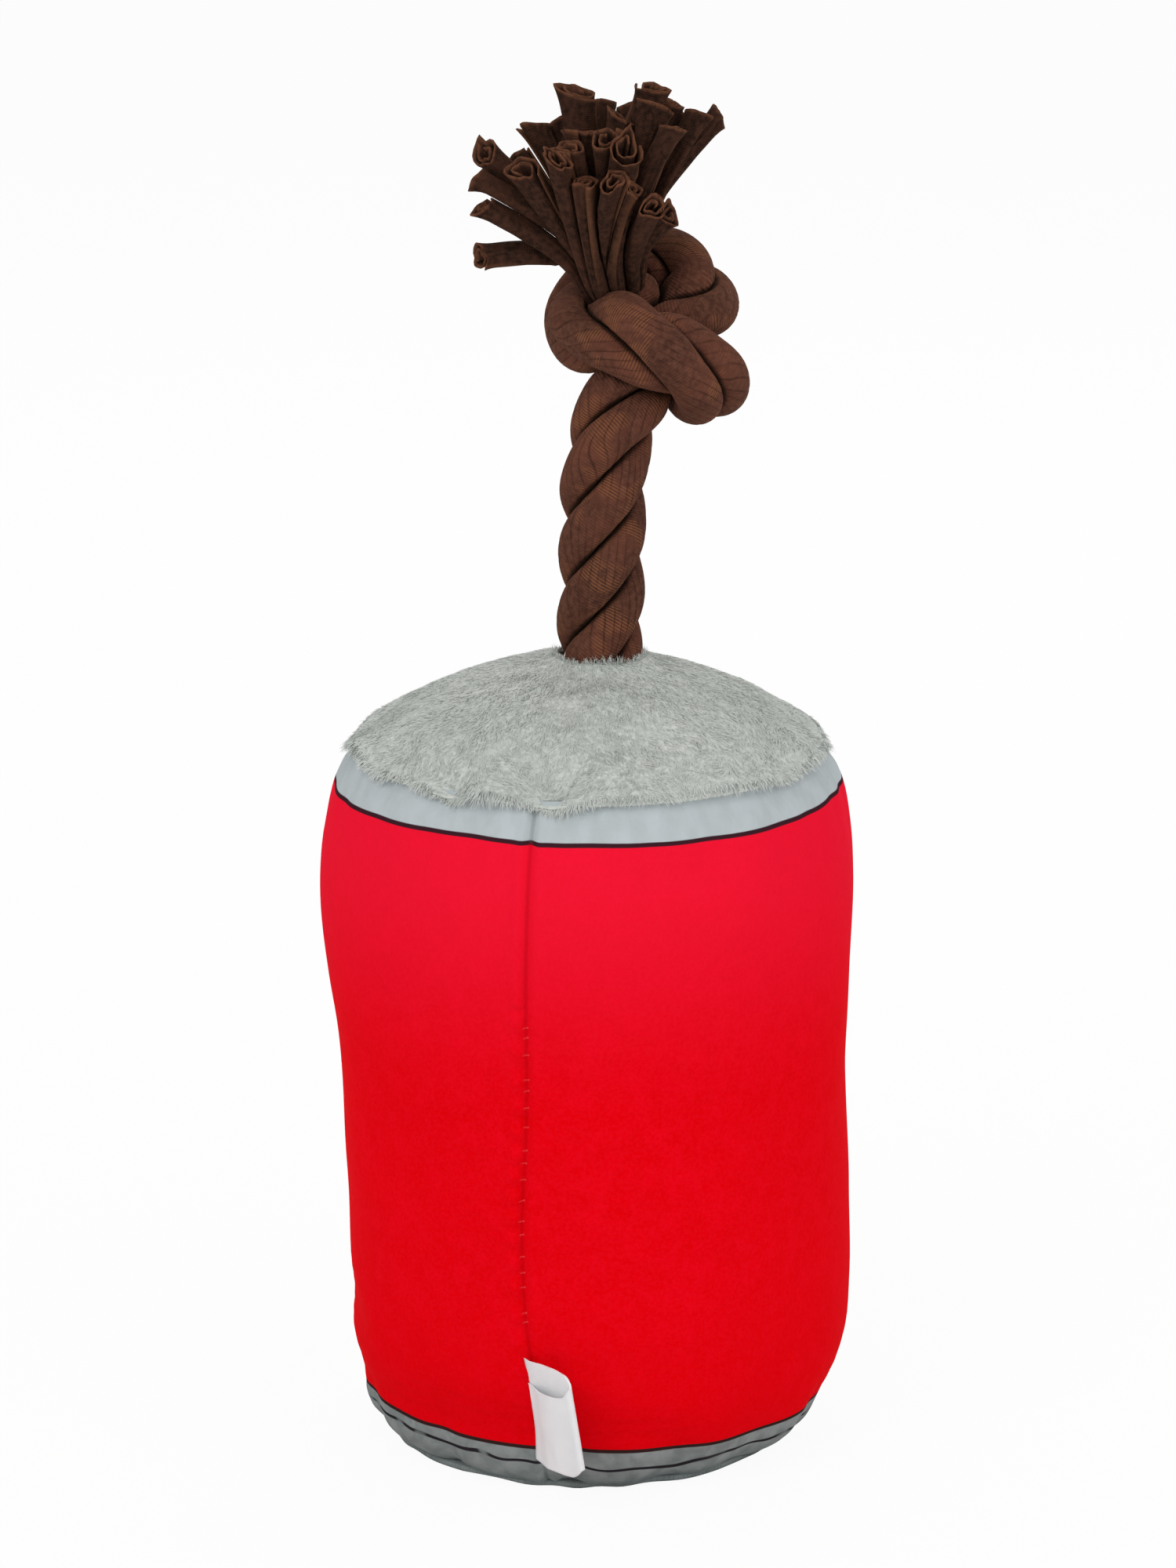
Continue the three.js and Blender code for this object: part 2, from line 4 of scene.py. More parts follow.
import bpy
import math
import numpy as np
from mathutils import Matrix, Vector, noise


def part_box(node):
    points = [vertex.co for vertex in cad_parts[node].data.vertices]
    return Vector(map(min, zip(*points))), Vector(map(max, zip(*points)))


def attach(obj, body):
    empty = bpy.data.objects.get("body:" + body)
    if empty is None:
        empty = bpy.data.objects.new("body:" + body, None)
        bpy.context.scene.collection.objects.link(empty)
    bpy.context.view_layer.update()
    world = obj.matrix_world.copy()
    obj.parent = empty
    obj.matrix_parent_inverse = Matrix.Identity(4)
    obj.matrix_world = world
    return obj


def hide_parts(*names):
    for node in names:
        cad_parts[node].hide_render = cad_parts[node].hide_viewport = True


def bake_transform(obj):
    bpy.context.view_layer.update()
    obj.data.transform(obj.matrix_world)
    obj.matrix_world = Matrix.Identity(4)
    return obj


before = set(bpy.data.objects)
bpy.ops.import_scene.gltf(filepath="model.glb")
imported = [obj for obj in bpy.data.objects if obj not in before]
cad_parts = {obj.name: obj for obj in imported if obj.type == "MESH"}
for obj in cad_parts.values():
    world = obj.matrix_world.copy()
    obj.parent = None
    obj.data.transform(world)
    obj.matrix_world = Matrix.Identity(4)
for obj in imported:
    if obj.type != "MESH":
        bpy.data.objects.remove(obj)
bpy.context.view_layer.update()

MM = 0.001
TURN = 2 * math.pi
WHITE = (1, 1, 1, 1)

# Camera, fitted to the photograph
CAMERA_DISTANCE = 1.2
CAMERA_ELEVATION = math.radians(15)
CAMERA_TARGET_HEIGHT = 0.145
CAMERA_LENS = 85.2
SENSOR_HEIGHT = 24

# Light and floor
WORLD_STRENGTH = 0.6
LAMPS = [
    # name, place, size, watts
    ("key", (-0.7, -1.0, 1.1), 0.8, 7.0),
    ("fill", (0.9, -0.8, 0.7), 0.9, 3.8),
    ("back", (0.2, 1.1, 1.0), 0.8, 4.0),
]
FLOOR_REACH = 6.0
FLOOR_GLOW_SHARE = 0.94

# Body, as in the part's source
BODY_RADIUS = 0.0575
BODY_HEIGHT = 0.1543
DOME_HEIGHT = 0.019
DOME_SPREAD_POWER = 1.7
DOME_EDGE_POWER = 0.85
FIT_GAP = 0.0003
CROWN_HEIGHT = BODY_HEIGHT + FIT_GAP + DOME_HEIGHT
SEAM_ALLOWANCE = 0.007
CLOTH = 0.0012

# (share of height, share of the radius)
BODY_OUTLINE_SHARES = [
    (0.0, 0.79), (0.02, 0.845), (0.04, 0.872), (0.075, 0.903), (0.15, 0.948),
    (0.22, 0.958), (0.36, 0.958), (0.54, 0.96), (0.68, 0.983), (0.82, 1.0),
    (0.885, 0.988), (0.95, 0.953), (1.0, 0.892),
]
FOOT_RADIUS = BODY_OUTLINE_SHARES[0][1] * BODY_RADIUS
SEAM_RADIUS = BODY_OUTLINE_SHARES[-1][1] * BODY_RADIUS

# The stuffing leans a little: (share of height, sideways offset)
BODY_LEAN = [(0.0, 0.0008), (0.04, 0.0011), (0.11, 0.0021), (0.18, 0.0021),
             (0.36, 0.0017), (0.47, 0.0011), (0.61, 0.0005), (0.68, 0.0), (1.0, 0.0)]

# The back seam wanders: (share of height, degrees from -Y towards +X)
SEAM_TURNS = [(0.0, -12.2), (0.07, -12.6), (0.13, -13.4), (0.185, -14.5), (0.214, -15.3),
              (0.26, -16.2), (0.36, -16.8), (0.55, -14.6), (0.8, -12.7), (1.0, -12.6)]

# Rope, as in the part's source: heights are measured from the crown of the plush
ROPE_DIAMETER = 0.019
ROPE_ROUTE = [
    (0.0024, 0.0, -0.0416), (0.0024, 0.0, -0.0216), (0.0024, 0.0, -0.0006),
    (0.0028, -0.0003, 0.0164), (0.0032, -0.0006, 0.0324), (0.0042, -0.0008, 0.0454),
    (0.007, 0.0008, 0.0534), (0.011, 0.0035, 0.0609), (0.016, 0.006, 0.0664),
    (0.021, 0.009, 0.0707), (0.0232, 0.014, 0.0754), (0.0172, 0.0195, 0.0795),
    (0.0125, 0.0235, 0.0797), (0.007, 0.025, 0.0764), (0.002, 0.0225, 0.0729),
    (-0.0006, 0.016, 0.07), (-0.0002, 0.0085, 0.0692), (0.003, 0.0015, 0.07),
    (0.008, -0.004, 0.0704), (0.014, -0.0075, 0.0684), (0.0198, -0.0068, 0.0644),
    (0.024, -0.0025, 0.0606), (0.025, 0.0045, 0.0582), (0.0232, 0.011, 0.0582),
    (0.019, 0.0155, 0.0604), (0.0145, 0.0175, 0.0644), (0.011, 0.0168, 0.0692),
    (0.0087, 0.0134, 0.073), (0.0074, 0.0104, 0.0764),
]
ROPE_FOOT = ROPE_ROUTE[0][:2]
FAN_ROOT = (0.0046, 0.005, 0.0824)
ROPE_SPLIT = 0.0125  # the two lengths of rope meet at this height above the crown
STRAND_COUNT = 3
STRAND_RADIUS = 0.00495
STRAND_OFFSET = 0.0046
STRAND_GAP = 0.0001
STRAND_STEP = 0.0007
STRAND_SIDES = 60
STRAND_EASE = 2.2  # the strands' lines are eased over this many steps
STRAND_SWELL = 0.00012
STRAND_SWELL_LENGTH = 0.013
TURNS_APART = 0.022
BEND_FULLNESS_SHARE = 0.92
FAR = 1.0  # farther than any two points of the toy
LEAST_FACING = 1e-3
SAME_POINT = 1e-7
# Turns of the lay along the rope: (distance from the hidden end, turns)
LAY_TURNS = [(0.0, 0.0), (0.088, 2.02), (0.108, 2.45), (0.128, 2.98), (0.15, 3.3),
             (0.163, 3.57), (0.185, 3.94), (0.207, 4.24), (0.262, 5.2)]
LAY_PHASE = math.radians(6)
STRIPS_IN_STRAND = 13
STRIP_TWIST_LENGTH = 0.045  # the strips go once round a strand in this length
STRIP_WANDER_LENGTH = 0.021
STRIP_WANDER_SHARES = (0.3, 0.4)
STRIP_GROOVE = 0.00014
CREVICE_REACH = 0.0065  # strands closer than twice this get painted shade in the crevice between them
CREVICE_SOFTNESS = 0.0005  # how far the strands round off beside each other
STRAND_END = 0.006  # the strands close over this length at both ends of the rope
STRAND_STOP = 0.0025  # and stop this far short of the tassel's root

# Tassel, as in the part's source
STRIP_REACH = 0.04
STRIP_ROOT_DIAMETER = 0.0017
STRIP_TIP_DIAMETER = 0.0032
FAN_ROOT_DIAMETER = 0.016
FAN_TILT = math.radians(20)
FAN_LEAN = math.radians(-12)
FAN_PHASE = math.radians(5)
GOLDEN_ANGLE = math.radians(137.508)
STRIP_RISE_SHARE = 0.25
# Each strip's lean in degrees, sideways to +X and forward to -Y, and its share of the reach
STRIP_LEANS = [
    (4, 8, 0.87), (-11, 12, 0.82), (-1, 25, 0.86), (14, -3, 1.03), (-52, 18, 0.91),
    (14, 11, 0.98), (-10, -5, 0.99), (-15, 26, 0.84), (20, -12, 0.97), (-46, 7, 0.95),
    (5, 29, 0.88), (7, -20, 0.89), (-34, 30, 0.85), (21, 22, 0.96), (-28, -10, 0.88),
    (2, 42, 0.78), (26, -22, 0.95), (-83, 30, 0.72), (20, 45, 0.64), (-2, -22, 0.94),
    (-19, 35, 0.9), (30, -4, 0.98), (-39, -8, 0.81), (10, 40, 0.7), (11, -34, 0.86),
    (-58, 25, 0.81), (38, 30, 0.52), (-21, -18, 0.84), (-12, 38, 0.73), (35, -14, 1.04),
]
STRIP_LEAD = 0.008  # how far the strips reach back into the rope
STRIP_LEAD_SHARE = 0.7  # and how far they draw together there
STRIP_STEP = 0.0011
STRIP_EASE = 1.5
STRIP_SAMPLES = 46
STRIP_TWIST = 0.5
STRIP_HEADING_SCATTER = 0.004
STRIP_GAP = 0.0001
STRIP_CLOTH = 0.00045
STRIP_CLOTH_SHARE = 0.6  # the cloth is at most this share of its distance from the roll's middle
# Half width of a rolled strip where it has room: (share of its length, half width)
STRIP_WIDTHS = [(0.0, 0.0014), (0.2, 0.0024), (0.5, 0.0032), (0.8, 0.0035), (1.0, 0.0036)]
STRIP_WIDTH_SPREAD = (0.85, 1.15)
STRIP_FLATNESS = (0.6, 0.95)
STRIP_OPENNESS = (0.0, 0.6)
STRIP_WANDER = 0.0005
STRIP_RAGGED = 0.0002
STRIP_LIP_SHARE = 0.22  # the cut ends curl out by this share of their width
STRIP_SLANT = 0.5  # and are cut at most this steeply
# The roll of a closed strip, and how much an open one unrolls: turns, share of the radius inside
ROLL_TURNS, ROLL_TURNS_OPEN = 2.1, 0.8
ROLL_DEPTH, ROLL_DEPTH_OPEN = 0.72, 0.3
# Crumpling of a roll's section: (lobes, share of the half width, how much it turns along the strip)
CRUMPLES = [(2, 0.16, 2), (3, 0.12, -3), (5, 0.07, 6)]

# Sewn covers
SEAM_GROOVE = 0.0009
SEAM_GROOVE_WIDTH = 0.0011
SEAM_SHOULDER_SHARE = 0.5
SEAM_SHOULDER_ASIDE = 0.0022
SEAM_SHOULDER_WIDTH = 0.0014
PANEL_ROWS = [(0.0, 0.004, 14), (0.0046, 0.02, 34), (0.0207, 0.135, 170), (0.1355, BODY_HEIGHT, 42)]
PANEL_COLUMNS = 420
PANEL_CROWDING = 0.55  # the columns crowd together beside the seam
PANEL_WAVE = 0.0009
PANEL_WAVE_SCALE = 28
PANEL_RIPPLE = 0.00022
PANEL_RIPPLE_SCALE = 75
INNER_ROW_STEP = 6  # the inner side of a cover has every sixth row
HEM_GATHERS = {"count": 13, "low": 0.0, "high": 0.024, "depth": 0.003, "width": 0.11, "seed": 5}
TOP_GATHERS = {"count": 26, "low": BODY_HEIGHT, "high": 0.128, "depth": 0.0011, "width": 0.07, "seed": 6}
GATHER_SCATTER = 0.35
GATHER_DEPTHS = (0.25, 1.0)
GATHER_WIDTHS = (0.6, 1.3)
GATHER_FADE_POWER = 1.6
HEM_ROLL = 0.006  # the panel's lower edge rolls up over this height
HEM_LIFT = 0.0009
HEM_LIFT_SCALE = 26
PANEL_LOW = 0.0002
PANEL_INNER_LOW = 0.0004
TOP_BAND_LOW = 0.1466
TOP_LINE = 0.0009
HEM_BAND_HIGH = 0.0113
HEM_LINE = 0.0009
HEM_LINE_HEIGHT = 0.0078
HEM_SECOND_LINE = 0.0008
PRINT_SOFTNESS = 0.00012
# painted shade along the back seam's groove: how softly it changes colour between the bands, and the angles
# from the seam over which it fades
SEAM_SHADE_SOFTNESS = 0.0001
SEAM_SHADE_ANGLES = (0.012, 0.003)
BAND_WAVER = 0.0024
HEM_LINE_WAVER = 0.008
RED_PAINTED_LIGHT_HEIGHTS = (0.085, 0.145)  # painted light: the red grows lighter and pinker between these heights, towards the top
# painted shade: the red darkens from the first height down to the second, towards the bottom
RED_PAINTED_SHADE_HEIGHTS = (0.05, 0.012)

# Cloth simulation of the stuffed panel
SIM_ROWS = 54
SIM_COLUMNS = 124
SIM_FRAMES = 20
SIM_PRESSURE = 4.0
SIM_SLACK = 0.03
SIM_CAP = 0.0024
SIM_SMOOTHINGS = 2
SIM_ROUGHNESS = 0.0001
SIM_ROUGH_SCALE = 90

# Plush
PLUSH = 0.0016
PLUSH_ANGLES = 300
PLUSH_ROWS = 90
PLUSH_HOLE_GRIP = 0.0002  # the hole is this much tighter than the rope
PLUSH_UNDER_SHARE = 0.955
PLUSH_SKIRT = [(0.995, 0.0004), (0.965, 0.001), (0.96, SEAM_ALLOWANCE)]  # share of the seam, depth
PLUSH_WAVE = 0.0007
PLUSH_WAVE_SCALE = 60
PLUSH_RIPPLE = 0.0003
PLUSH_RIPPLE_SCALE = 190
PLUSH_LIP = 0.0013  # the plush climbs the rope this far
PLUSH_LIP_REACH = 0.003
PLUSH_LIP_SCALE = 110
PLUSH_ROLL = 0.0035
PLUSH_ROLL_SHARE = 0.012
PLUSH_NORMAL_STEP = 0.0004
PILE_LENGTH = 0.0018
PILE_WIDTH = 0.0002
PILE_COUNT = 60000
PILE_SUNK = 0.0003
PILE_SCATTER = 0.25
PILE_UNEVEN_SCALE = 220
SWIRL_SCALE = 70
RUFFLE_SCALE = 260
BLADE_SPLAY = 0.35
# A blade's rows: (share of its length along the normal, share along its way, share of its width)
BLADE_ROWS = [(0.0, 0.0, 1.0), (0.275, 0.225, 0.8), (0.35, 0.75, 0.18)]
DARK_PATCH_HEIGHTS = (0.169, 0.157)  # the pile darkens in noisy patches below these heights
TUFT_LENGTH = 0.0026
TUFT_DEPTH = 0.0016
TUFT_COUNT = 5200
FRINGE_LENGTH = 0.0017
FRINGE_COUNT = 1100
FRINGE_NEAR, FRINGE_FAR = -0.0003, 0.0008
FRINGE_SCATTER = 0.6

# Dents where the plush is drawn down: (degrees from -Y towards +X, distance from the middle, width, depth)
PLUSH_DENTS = [
    (-9, 0.046, 0.007, 0.0036), (-35, 0.048, 0.006, 0.0026), (17, 0.037, 0.007, 0.0022),
    (55, 0.046, 0.009, 0.0018), (95, 0.048, 0.007, 0.0015), (150, 0.047, 0.008, 0.002),
    (-150, 0.046, 0.007, 0.0018), (-100, 0.048, 0.008, 0.0014), (-62, 0.049, 0.006, 0.0012),
]

# Bottom
BASE_ANGLES = 180
BASE_ROWS = 46
BASE_SUNK = 0.0009
BASE_GATHER = 0.0002
BASE_LOW = 0.0002
BASE_WAVE = 0.0004
BASE_WAVE_SCALE = 70
BASE_INNER_STEP = 3

# Filling
FILLING_GAP = 0.0006
FILLING_LUMP = 0.0008
FILLING_LUMP_SCALE = 150
FILLING_FLOOR = 0.0045
FILLING_SPLIT = 0.0771
POCKET_RADIUS = 0.0237
POCKET_LOW = 0.0613
POCKET_HIGH = 0.0926
PLUG_RADIUS = 0.0089
PLUG_HIGH = 0.0941
CROWN_RADIUS = 0.0469
SKIRT_LOW = 0.147
TAIL_LOW = 0.1315
TACK_LOW = 0.1682
TACK_ROOM = 0.0113
NARROW = 0.0005  # the closed end of a ring of points

# Threads, as in the part's source
SEAM_THREAD = 0.0007
STITCH_THREAD = 0.0004
TACK_THREAD = 0.0009
THREAD_TURN = 0.0005
CLOSING_LOW = 0.04
CLOSING_HIGH = 0.112
CLOSING_STITCH = 0.004
CLOSING_REACH = 0.001
STITCH_SCATTER = 0.0012
STITCH_SLANTS = (0.1, 0.35)
STITCH_SUNK_SHARES = (0.05, 0.6)  # of the thread: everywhere, and more at the ends
STITCH_SIDES = 8
TUG = 0.0007  # each stitch draws the seam in by this
TUG_LOW = 0.028
TUG_ASIDE = 0.0016
TUG_WIDTH = 0.0015
TUG_PITCH = 0.0055
TUG_DRIFT = 2.2
TUG_DRIFT_LENGTH = 0.011

# Label, as in the part's source
LABEL_WIDTH = 0.017  # from the seam to the fold
LABEL_RIBBON = 0.0005
LABEL_INSIDE = 0.0006
LABEL_TUCK = 0.0022  # hidden in the seam
LABEL_STAND_OFF = 0.0004
LABEL_PINCH_SHARE = 0.3  # the halves lie this close at the seam, and part over LABEL_PARTING
LABEL_PARTING = 0.25
LABEL_FOOT = (-0.01207, -0.05228, 0.0105)
LABEL_OUT = (0.6476, -0.7576, -0.0823)
LABEL_SIDE = (0.7614, 0.6389, 0.1102)
LABEL_ALONG = (-0.0309, -0.1340, 0.9905)
LABEL_ROWS = 50

# The ribbon is folded askew. Each half's edges: (share of the way to the fold, height above the foot)
LABEL_FRONT_LOW = [(0.0, -0.0018), (0.25, -0.0007), (0.5, 0.0005), (0.75, 0.0014),
                   (0.9, 0.0023), (1.0, 0.0042)]
LABEL_FRONT_HIGH = [(0.0, 0.0172), (0.3, 0.0177), (0.5, 0.0182), (0.75, 0.019),
                    (0.92, 0.0203), (1.0, 0.0221)]
LABEL_BACK_LOW = [(0.0, 0.0047), (0.5, 0.0045), (1.0, 0.0042)]
LABEL_BACK_HIGH = [(0.0, 0.0226), (0.3, 0.0232), (0.7, 0.0239), (0.9, 0.0236), (1.0, 0.0221)]
LABEL_REACH = [(0.0, 0.0174), (1.0, 0.0138)]  # how far out the fold lies, from its low end to its high end
LABEL_LOOP = 0.0009  # how far the front half bellies out
LABEL_BACK_LOOP = 0.0002
LABEL_CREASE = 0.0004
LABEL_CREASE_PLACE = (0.55, 0.25)  # shares of the way out and up
LABEL_CREASE_REACH = (0.05, 0.12)
LABEL_FLAT = (0.018, 0.036)
LABEL_HOLLOW = 0.0011  # the panel sinks this far beside the label, where its seam is thickest
LABEL_HOLLOW_ASIDE = 0.0035
LABEL_HOLLOW_HEIGHT = 0.0225
LABEL_HOLLOW_RISE = 0.016

# How far each look's relief seems to stand out
RELIEF = {
    "rope ribs": 0.0002, "rope fluff": 0.0003, "jersey ribs": 0.00012, "jersey fluff": 0.0003,
    "fibre tangle": 0.0008, "fibre strands": 0.0012, "stitch twist": 0.00008, "thread twist": 0.0001,
    "mould grain": 0.00004, "mould flow": 0.0002, "cloth knit": 0.00012, "cloth mottle": 0.0004,
    "plush": 0.0006, "base weave": 0.00015, "ribbon weave": 0.00008,
}
MILKY_DEPTH = 0.002  # how far light goes into the bulb's plastic


def srgb(code):
    """A colour written as a web code, in the linear values that a shader takes."""
    parts = [((code >> shift) & 255) / 255 for shift in (16, 8, 0)]
    linear = [c / 12.92 if c <= 0.04045 else ((c + 0.055) / 1.055) ** 2.4 for c in parts]
    return (*linear, 1)


class Nodes:
    """Short calls for the nodes of one tree."""

    def __init__(self, tree):
        self.tree = tree

    def feed(self, socket, value):
        if isinstance(value, bpy.types.NodeSocket):
            self.tree.links.new(value, socket)
        else:
            socket.default_value = value

    def node(self, kind, inputs=None, **settings):
        node = self.tree.nodes.new("ShaderNode" + kind)
        for key, value in settings.items():
            setattr(node, key, value)
        for key, value in (inputs or {}).items():
            self.feed(node.inputs[key], value)
        return node

    def math(self, operation, *values):
        return self.node("Math", dict(enumerate(values)), operation=operation).outputs[0]

    def times(self, first, second):
        return self.math("MULTIPLY", first, second)

    def plus(self, first, second):
        return self.math("ADD", first, second)

    def minus(self, first, second):
        return self.math("SUBTRACT", first, second)

    def wave(self, value, length):
        return self.math("SINE", self.times(value, TURN / length))


class Look(Nodes):
    """One material. Its colours are written as web codes."""

    def __init__(self, name, roughness, specular=0.3, sheen=0.0):
        self.material = bpy.data.materials.new(name)
        self.material.use_nodes = True
        super().__init__(self.material.node_tree)
        self.shader = self.tree.nodes["Principled BSDF"]
        self.set("Roughness", roughness)
        self.set("Specular IOR Level", specular)
        self.set("Sheen Weight", sheen)
        self.set("Sheen Roughness", 0.5)
        self.place = self.node("TexCoord").outputs["Object"]

    def set(self, name, value):
        self.feed(self.shader.inputs[name], value)

    def uv(self):
        return self.parts(self.node("TexCoord").outputs["UV"])[:2]

    def parts(self, vector):
        return list(self.node("SeparateXYZ", {0: vector}).outputs)

    def rise(self, value, low, high, low_result=0.0, high_result=1.0):
        """Runs smoothly from low_result to high_result as the value goes from low to high."""
        inputs = {"Value": value, "From Min": low, "From Max": high,
                  "To Min": low_result, "To Max": high_result}
        return self.node("MapRange", inputs, interpolation_type="SMOOTHSTEP").outputs["Result"]

    def noise(self, scale, detail=2.0, where=None, distortion=0.0):
        inputs = {"Scale": scale, "Detail": detail, "Distortion": distortion,
                  "Vector": where or self.place}
        return self.node("TexNoise", inputs).outputs["Fac"]

    def stretched(self, scales):
        return self.node("Mapping", {"Vector": self.place, "Scale": scales}).outputs["Vector"]

    def blend(self, share, first, second):
        node = self.node("Mix", data_type="RGBA")
        for socket, value in zip((0, 6, 7), (share, first, second)):
            self.feed(node.inputs[socket], value if not isinstance(value, int) else srgb(value))
        return node.outputs[2]

    def tint(self, base, colour, value, low, high, most=1.0):
        """The base, tinted more and more as the value goes from low to high."""
        return self.blend(self.rise(value, low, high, 0.0, most), base, colour)

    def bump(self, height, distance, strength=1.0, under=None):
        inputs = {"Height": height, "Distance": distance, "Strength": strength}
        if under:
            inputs["Normal"] = under
        normal = self.node("Bump", inputs).outputs["Normal"]
        self.set("Normal", normal)
        return normal


# Camera, light and floor

def place_in_scene(name, data, location=(0, 0, 0), rotation=(0, 0, 0)):
    holder = bpy.data.objects.new(name, data)
    holder.location = location
    holder.rotation_euler = rotation
    bpy.context.collection.objects.link(holder)
    return holder


def add_camera():
    camera = bpy.data.cameras.new("camera")
    camera.sensor_fit = "VERTICAL"
    camera.sensor_height = SENSOR_HEIGHT
    camera.lens = CAMERA_LENS
    away = CAMERA_DISTANCE * math.cos(CAMERA_ELEVATION)
    above = CAMERA_DISTANCE * math.sin(CAMERA_ELEVATION)
    bpy.context.scene.camera = place_in_scene("camera", camera, (0, -away, CAMERA_TARGET_HEIGHT + above),
                                              (math.pi / 2 - CAMERA_ELEVATION, 0, 0))


def add_lamps():
    for name, place, size, watts in LAMPS:
        lamp = bpy.data.lights.new(name, "AREA")
        lamp.size = size
        lamp.energy = watts
        aim = np.array([0, 0, CAMERA_TARGET_HEIGHT]) - np.array(place)
        across = math.hypot(aim[0], aim[1])
        place_in_scene(name, lamp, place, (math.atan2(across, -aim[2]), 0, math.atan2(-aim[0], aim[1])))


def add_world():
    world = bpy.data.worlds.new("studio")
    world.use_nodes = True
    nodes = Nodes(world.node_tree)
    soft = nodes.tree.nodes["Background"]
    nodes.feed(soft.inputs["Strength"], WORLD_STRENGTH)
    nodes.feed(soft.inputs["Color"], WHITE)
    white = nodes.node("Background", {"Color": WHITE})
    rays = nodes.node("LightPath").outputs
    seen = nodes.math("MAXIMUM", rays["Is Camera Ray"], rays["Is Glossy Ray"])
    seen = nodes.math("MAXIMUM", seen, rays["Is Transmission Ray"])
    mixed = nodes.node("MixShader", {0: seen, 1: soft.outputs[0], 2: white.outputs[0]})
    nodes.feed(nodes.tree.nodes["World Output"].inputs["Surface"], mixed.outputs[0])
    bpy.context.scene.world = world


def add_floor():
    mesh = bpy.data.meshes.new("floor")
    signs = [(-1, -1), (1, -1), (1, 1), (-1, 1)]
    mesh.from_pydata([(x * FLOOR_REACH, y * FLOOR_REACH, 0) for x, y in signs], [], [(0, 1, 2, 3)])
    look = Look("pale_floor", roughness=1.0, specular=0.0)
    look.set("Base Color", (0.9, 0.9, 0.9, 1))
    glow = look.node("Emission", {"Color": WHITE, "Strength": 1.0})
    share = look.times(look.node("LightPath").outputs["Is Camera Ray"], FLOOR_GLOW_SHARE)
    mixed = look.node("MixShader", {0: share, 1: look.shader.outputs[0], 2: glow.outputs[0]})
    look.feed(look.tree.nodes["Material Output"].inputs["Surface"], mixed.outputs[0])
    mesh.materials.append(look.material)
    place_in_scene("floor", mesh)


# Mesh making

def new_piece(name, vertices, faces, look, uvs=None, creviced=None):
    """A smooth piece from arrays: vertices (..., 3), quads (m, 4), uvs for each quad corner (m, 4, 2)
    and how deep in a crevice each vertex lies (n), for the rope's painted crevice shade."""
    places = np.asarray(vertices, np.float32).reshape(-1, 3)
    mesh = bpy.data.meshes.new(name)
    mesh.vertices.add(len(places))
    mesh.vertices.foreach_set("co", places.ravel())
    mesh.loops.add(faces.size)
    mesh.loops.foreach_set("vertex_index", faces.astype(np.int32).ravel())
    mesh.polygons.add(len(faces))
    mesh.polygons.foreach_set("loop_start", np.arange(0, faces.size, faces.shape[1], dtype=np.int32))
    mesh.polygons.foreach_set("use_smooth", np.ones(len(faces), bool))
    if uvs is not None:
        layer = mesh.uv_layers.new(name="UVMap")
        layer.data.foreach_set("uv", np.asarray(uvs, np.float32).ravel())
    if creviced is not None:
        depth = mesh.attributes.new("crevice", "FLOAT", "POINT")
        depth.data.foreach_set("value", np.asarray(creviced, np.float32).ravel())
    mesh.update(calc_edges=True)
    mesh.validate()
    mesh.materials.append(look.material)
    return place_in_scene(name, mesh)


def grid_faces(rows, columns, round_rows=False):
    """Quads of a grid whose points are stored row by row, each row a closed ring."""
    i = np.arange(rows if round_rows else rows - 1)[:, None]
    k = np.arange(columns)[None, :]
    below = i * columns
    above = ((i + 1) % rows) * columns
    beside = (k + 1) % columns
    return np.stack([below + k, below + beside, above + beside, above + k], axis=-1).reshape(-1, 4)


def grid_uvs(u, v):
    """UVs of the same quads, from corner values (rows + 1 or rows, columns + 1)."""
    both = np.stack([u, v], axis=-1)
    corners = [both[:-1, :-1], both[:-1, 1:], both[1:, 1:], both[1:, :-1]]
    return np.stack(corners, axis=2).reshape(-1, 4, 2)


def folded_piece(name, ring, u, v, end_u, look):
    """A piece whose rows go out along one side of a sheet and back along the other, closed at both ends."""
    rows, columns = ring.shape[:2]
    ends = []
    for row in (0, rows - 1):
        first = row * columns
        for q in range(columns // 2 - 1):
            quad = [first + q, first + q + 1, first + columns - 2 - q, first + columns - 1 - q]
            ends.append(quad if row else quad[::-1])
    end_uvs = np.zeros((len(ends), 4, 2))
    end_uvs[:, :, 0] = end_u
    faces = np.concatenate([grid_faces(rows, columns), np.array(ends)])
    return new_piece(name, ring, faces, look, np.concatenate([grid_uvs(u, v), end_uvs]))


def joined(parts):
    """Several (vertices, faces, uvs) as one."""
    vertices, faces, uvs, start = [], [], [], 0
    for points, quads, corners in parts:
        vertices.append(points.reshape(-1, 3))
        faces.append(quads + start)
        uvs.append(corners)
        start += len(vertices[-1])
    return np.concatenate(vertices), np.concatenate(faces), np.concatenate(uvs)


def smooth_line(pairs, where):
    """A smooth value through (place, value) pairs."""
    places, values = np.array(pairs).T
    slopes = np.gradient(values, places)
    where = np.clip(where, places[0], places[-1])
    k = np.clip(np.searchsorted(places, where) - 1, 0, len(places) - 2)
    span = places[k + 1] - places[k]
    t = (where - places[k]) / span
    start, end = values[k], values[k + 1]
    rise_in, rise_out = slopes[k] * span, slopes[k + 1] * span
    bend = (2 * t**3 - 3 * t**2 + 1) * start + (t**3 - 2 * t**2 + t) * rise_in
    return bend + (3 * t**2 - 2 * t**3) * end + (t**3 - t**2) * rise_out


def noise_at(points, scale, seed=0):
    """Smooth noise from -1 to 1 at each point."""
    flat = np.asarray(points).reshape(-1, 3) * scale + 17.3 * seed
    values = np.array([noise.noise(p) for p in flat])
    return values.reshape(np.asarray(points).shape[:-1])


